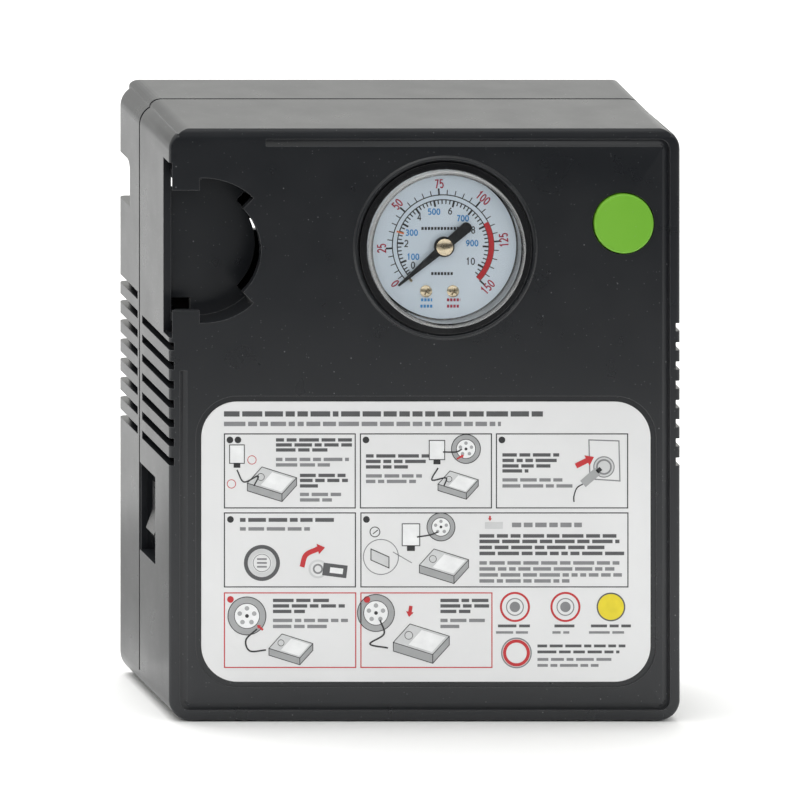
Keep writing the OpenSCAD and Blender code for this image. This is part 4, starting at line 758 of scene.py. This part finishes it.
def slab(p, cx, cy, s):
    """A plain slab in parallel projection with a pale panel and a round dial."""
    c = np.array(mm_at(cx, cy))
    u, v, w = (np.array(edge) * s for edge in ((0.90, -0.28), (-0.38, -0.42), (0.0, -0.20)))
    top = [c, c + u, c + u + v, c + v]
    p.fill(top, "pale", 1)
    p.fill([c + v, c + v + u, c + v + u + w, c + v + w], "grey", 1)
    p.fill([c + u, c + u + v, c + u + v + w, c + u + w], "grey", 1)
    panel = ((0.34, 0.1), (0.94, 0.1), (0.94, 0.9), (0.34, 0.9))
    p.fill([c + u * a + v * b for a, b in panel], "white", 2)
    p.ring(c + u * 0.18 + v * 0.5, s * 0.09, 0.16, "black", 3)
    p.stroke(top, 0.2, "black", 3, True)
    p.stroke([c + v, c + v + w, c + v + u + w, c + u + w, c + u], 0.2, "black", 3)
    p.stroke([c + v + u, c + v + u + w], 0.2, "black", 3)


def bottle(p, cx, cy, s):
    """A white bottle that stands on its black cap."""
    x, z = mm_at(cx, cy)
    side = [(x - s, z - s), (x + s, z - s), (x + s, z + s * 1.5), (x - s, z + s * 1.5)]
    p.fill(side, "white", 2)
    p.stroke(side, 0.24, "black", 3, True)
    p.bar(x - s * 0.45, x + s * 0.45, z - s * 1.6, z - s, "black", 3)


def arrow(p, x0, y0, x1, y1, width):
    """A red arrow between two places of the picture."""
    a, b = np.array(mm_at(x0, y0)), np.array(mm_at(x1, y1))
    d = (b - a) / np.linalg.norm(b - a)
    n = np.array((-d[1], d[0]))
    neck = b - d * width * 1.5
    p.stroke([a, neck], width, "red", 4)
    p.fill([b, neck + n * width * 1.1, neck - n * width * 1.1], "red", 4)


def bend(*points):
    """Catmull-Rom curve through places of the picture."""
    q = np.array(path(*points))
    q = np.vstack((2 * q[0] - q[1], q, 2 * q[-1] - q[-2]))
    t = np.linspace(0, 1, 10, endpoint=False)[:, None]
    out = []
    for a, b, c, d in zip(q[:-3], q[1:-2], q[2:-1], q[3:]):
        quadratic, cubic = 2 * a - 5 * b + 4 * c - d, 3 * b - a - 3 * c + d
        out.append(0.5 * (2 * b + (c - a) * t + quadratic * t ** 2 + cubic * t ** 3))
    return np.vstack(out + [q[-2:-1]])


def plug_and_socket(p):
    """A plate with a round socket, and a plug on its cord."""
    plate = path((589, 440), (619, 441), (620, 481), (590, 479))
    socket = mm_at(604, 467)
    plug, pin = path((583, 484), (598, 471)), path((597, 472), (601, 468.5))
    cord = bend((583, 484), (577, 488), (574, 496), (574, 502))
    p.stroke(plate, 0.35, "soft", 1, True)
    p.disc(socket, 2.9, "pale", 1)
    p.ring(socket, 2.9, 0.3, "soft", 2)
    p.ring(socket, 2.0, 0.5, "soft", 2)
    p.stroke(plug, 2.4, "grey", 3)
    p.stroke(pin, 1.2, "black", 3)
    p.stroke(cord, 0.35, "black", 3)


def button_and_knob(p):
    """A round push button with three ribs, and a knob that turns with its handle."""
    (x, z), knob = mm_at(262, 563), mm_at(318, 569)
    turn = bend((302, 567), (306, 555), (318, 549))
    handle, inlay = path((323, 569), (347, 572)), path((330, 570), (343, 571.5))
    for r, w, name in ((4.6, 1.1, "word"), (3.4, 1.2, "pale"), (2.5, 0.2, "soft")):
        p.ring((x, z), r, w, name)
    for rib in (-1.1, 0, 1.1):
        p.bar(x - 1.4, x + 1.4, z + rib - 0.25, z + rib + 0.25, "soft")
    p.stroke(turn, 1.4, "red", 3)
    p.ring(knob, 2.4, 0.6, "pale")
    p.ring(knob, 1.2, 0.5, "soft")
    p.stroke(handle, 3.6, "word", 2)
    p.stroke(inlay, 1.6, "white", 3)


def gauge_and_switch(p):
    """A small gauge with its needle, and a rocker in a circle with a lead to the slab."""
    gauge, needle = mm_at(375, 532), path((373, 534), (378, 530))
    circle, lead = mm_at(381, 557), path((393, 552), (412, 563))
    rocker = path((371, 549), (389, 557), (389, 568), (371, 560))
    (x0, z0), (x1, z1) = path((485, 529), (503, 522))
    p.ring(gauge, 1.4, 0.25, "black")
    p.stroke(needle, 0.25, "black")
    p.ring(circle, 5.0, 0.25, "soft")
    p.fill(rocker, "pale", 2)
    p.stroke(rocker, 0.25, "black", 3, True)
    p.stroke(lead, 0.25, "soft")
    p.bar(x0, x1, z0, z1, "pale")


def rings_and_disc(p):
    """Two targets, a yellow disc and a red ring."""
    targets, disc, ring = path((515, 607), (565.5, 607)), mm_at(611, 607), mm_at(516.5, 653)
    for c in targets:
        p.ring(c, 4.0, 0.6, "red")
        p.disc(c, 1.5, "soft", 1)
        p.ring(c, 2.4, 0.3, "soft")
    p.disc(disc, 3.9, "yellow", 1)
    p.ring(disc, 3.9, 0.4, "word", 2)
    p.ring(ring, 3.4, 0.9, "red", 2)
    p.ring(ring, 4.2, 0.4, "soft", 1)


def label_print():
    """Generic label: frames, bars in place of words, and plain pictures of things."""
    p = Print(LABEL_Y)
    for draw, places in ((frame_box, FRAMES), (wheel, WHEELS), (slab, SLABS), (bottle, BOTTLES)):
        for place in places:
            draw(p, *place)
    for x, y, name in DOTS:
        p.disc(mm_at(x, y), 0.95, name, 2)
    for width, *places in HOSES:
        p.stroke(bend(*places), width, "black", 4)
    for place in ARROWS:
        arrow(p, *place)
    for c in path(*SMALL_RINGS):
        p.ring(c, 1.2, 0.2, "red")
    for draw in (plug_and_socket, button_and_knob, gauge_and_switch, rings_and_disc):
        draw(p)
    for x, height, dark, pale in TEXT:
        for ink_name, lines in (("word", dark), ("soft", pale)):
            for y, length in lines:
                words(p, x, x + length, y, height, ink_name)
    p.make("label_print", "label_film")


label_print()


# ---- floor, light and world --------------------------------------------------------
def sheet(name, look, base, tones, x, y, z):
    """A flat sheet over the ranges x and y at height z, its tone drifting between two greys."""
    mesh = bpy.data.meshes.new(name)
    corners = [(x[0], y[0], z), (x[1], y[0], z), (x[1], y[1], z), (x[0], y[1], z)]
    mesh.from_pydata(corners, [], [(0, 1, 2, 3)])
    m = Mat(look, base, 0.9)
    m.set("Base Color", m.mix(m.ramp(m.noise(9, 3), 0.3, 0.7), *tones))
    mesh.materials.append(m.m)
    o = link(bpy.data.objects.new(name, mesh))
    return o


def make_floor():
    """Pale paper from a little in front of the object to far behind it."""
    tones = ((0.81, 0.81, 0.815), (0.83, 0.83, 0.835))
    sheet("floor", "floor_paper", (0.82, 0.82, 0.825), tones, (-4.0, 4.0), (-0.37, 6.0), -0.0003)


def make_flag():
    """Painted shade: a dark card low on the left, which shows only in reflections, where it stands for
    the shaded floor beside the object.
    """
    tones = ((0.43, 0.43, 0.43), (0.47, 0.47, 0.47))
    flag = sheet("flag", "shade_card_grey", (0.45, 0.45, 0.45), tones, (-0.30, -0.085), (0.03, 0.20), 0.001)
    flag.visible_camera = flag.visible_shadow = flag.visible_diffuse = False


def area_light(name, at, target, size, power):
    """A rectangular lamp that faces its target and isn't seen itself."""
    data = bpy.data.lights.new(name, "AREA")
    data.shape = "RECTANGLE"
    data.size, data.size_y = size
    data.energy = power
    o = bpy.data.objects.new(name, data)
    o.location = at
    o.rotation_mode = "QUATERNION"
    o.rotation_quaternion = (Vector(target) - Vector(at)).to_track_quat("-Z", "Y")
    o.visible_camera = False
    link(o)


def make_world():
    """Radiance rises from a dim front at the horizon to white at the back and overhead.
    The camera sees plain white."""
    w = bpy.data.worlds.new("studio")
    bpy.context.scene.world = w
    w.use_nodes = True
    t = w.node_tree
    back = t.nodes["Background"]
    pos = t.nodes.new("ShaderNodeTexCoord")
    dot = t.nodes.new("ShaderNodeVectorMath")
    dot.operation = "DOT_PRODUCT"
    dot.inputs[1].default_value = (-0.15, 0.75, 0.75)
    t.links.new(pos.outputs["Generated"], dot.inputs[0])
    grade = t.nodes.new("ShaderNodeMapRange")
    grade.interpolation_type = "SMOOTHSTEP"
    for k, v in (("From Min", -0.66), ("From Max", 0.42), ("To Min", 0.055), ("To Max", 1.22)):
        grade.inputs[k].default_value = v
    t.links.new(dot.outputs["Value"], grade.inputs["Value"])
    path = t.nodes.new("ShaderNodeLightPath")
    seen = t.nodes.new("ShaderNodeMix")
    t.links.new(path.outputs["Is Camera Ray"], seen.inputs[0])
    t.links.new(grade.outputs["Result"], seen.inputs[2])
    seen.inputs[3].default_value = 1.0
    t.links.new(seen.outputs[0], back.inputs["Strength"])
    tone = t.nodes.new("ShaderNodeMix")
    tone.data_type = "RGBA"
    t.links.new(grade.outputs["Result"], tone.inputs[0])
    tone.inputs[6].default_value, tone.inputs[7].default_value = (0.86, 0.94, 1, 1), (1, 1, 0.965, 1)
    white = t.nodes.new("ShaderNodeMix")
    white.data_type = "RGBA"
    t.links.new(path.outputs["Is Camera Ray"], white.inputs[0])
    t.links.new(tone.outputs[2], white.inputs[6])
    white.inputs[7].default_value = (1, 1, 1, 1)
    t.links.new(white.outputs[2], back.inputs["Color"])


make_floor()
make_flag()
make_world()
area_light("top_light", (-0.15, 0.35, 1.25), (-0.05, 0.1, 0), (1.3, 1.1), 16)
area_light("front_light", (0.1, -1.0, 0.62), (0, 0, 0.08), (2.2, 0.45), 3.4)
bpy.context.scene.view_settings.view_transform = "Standard"
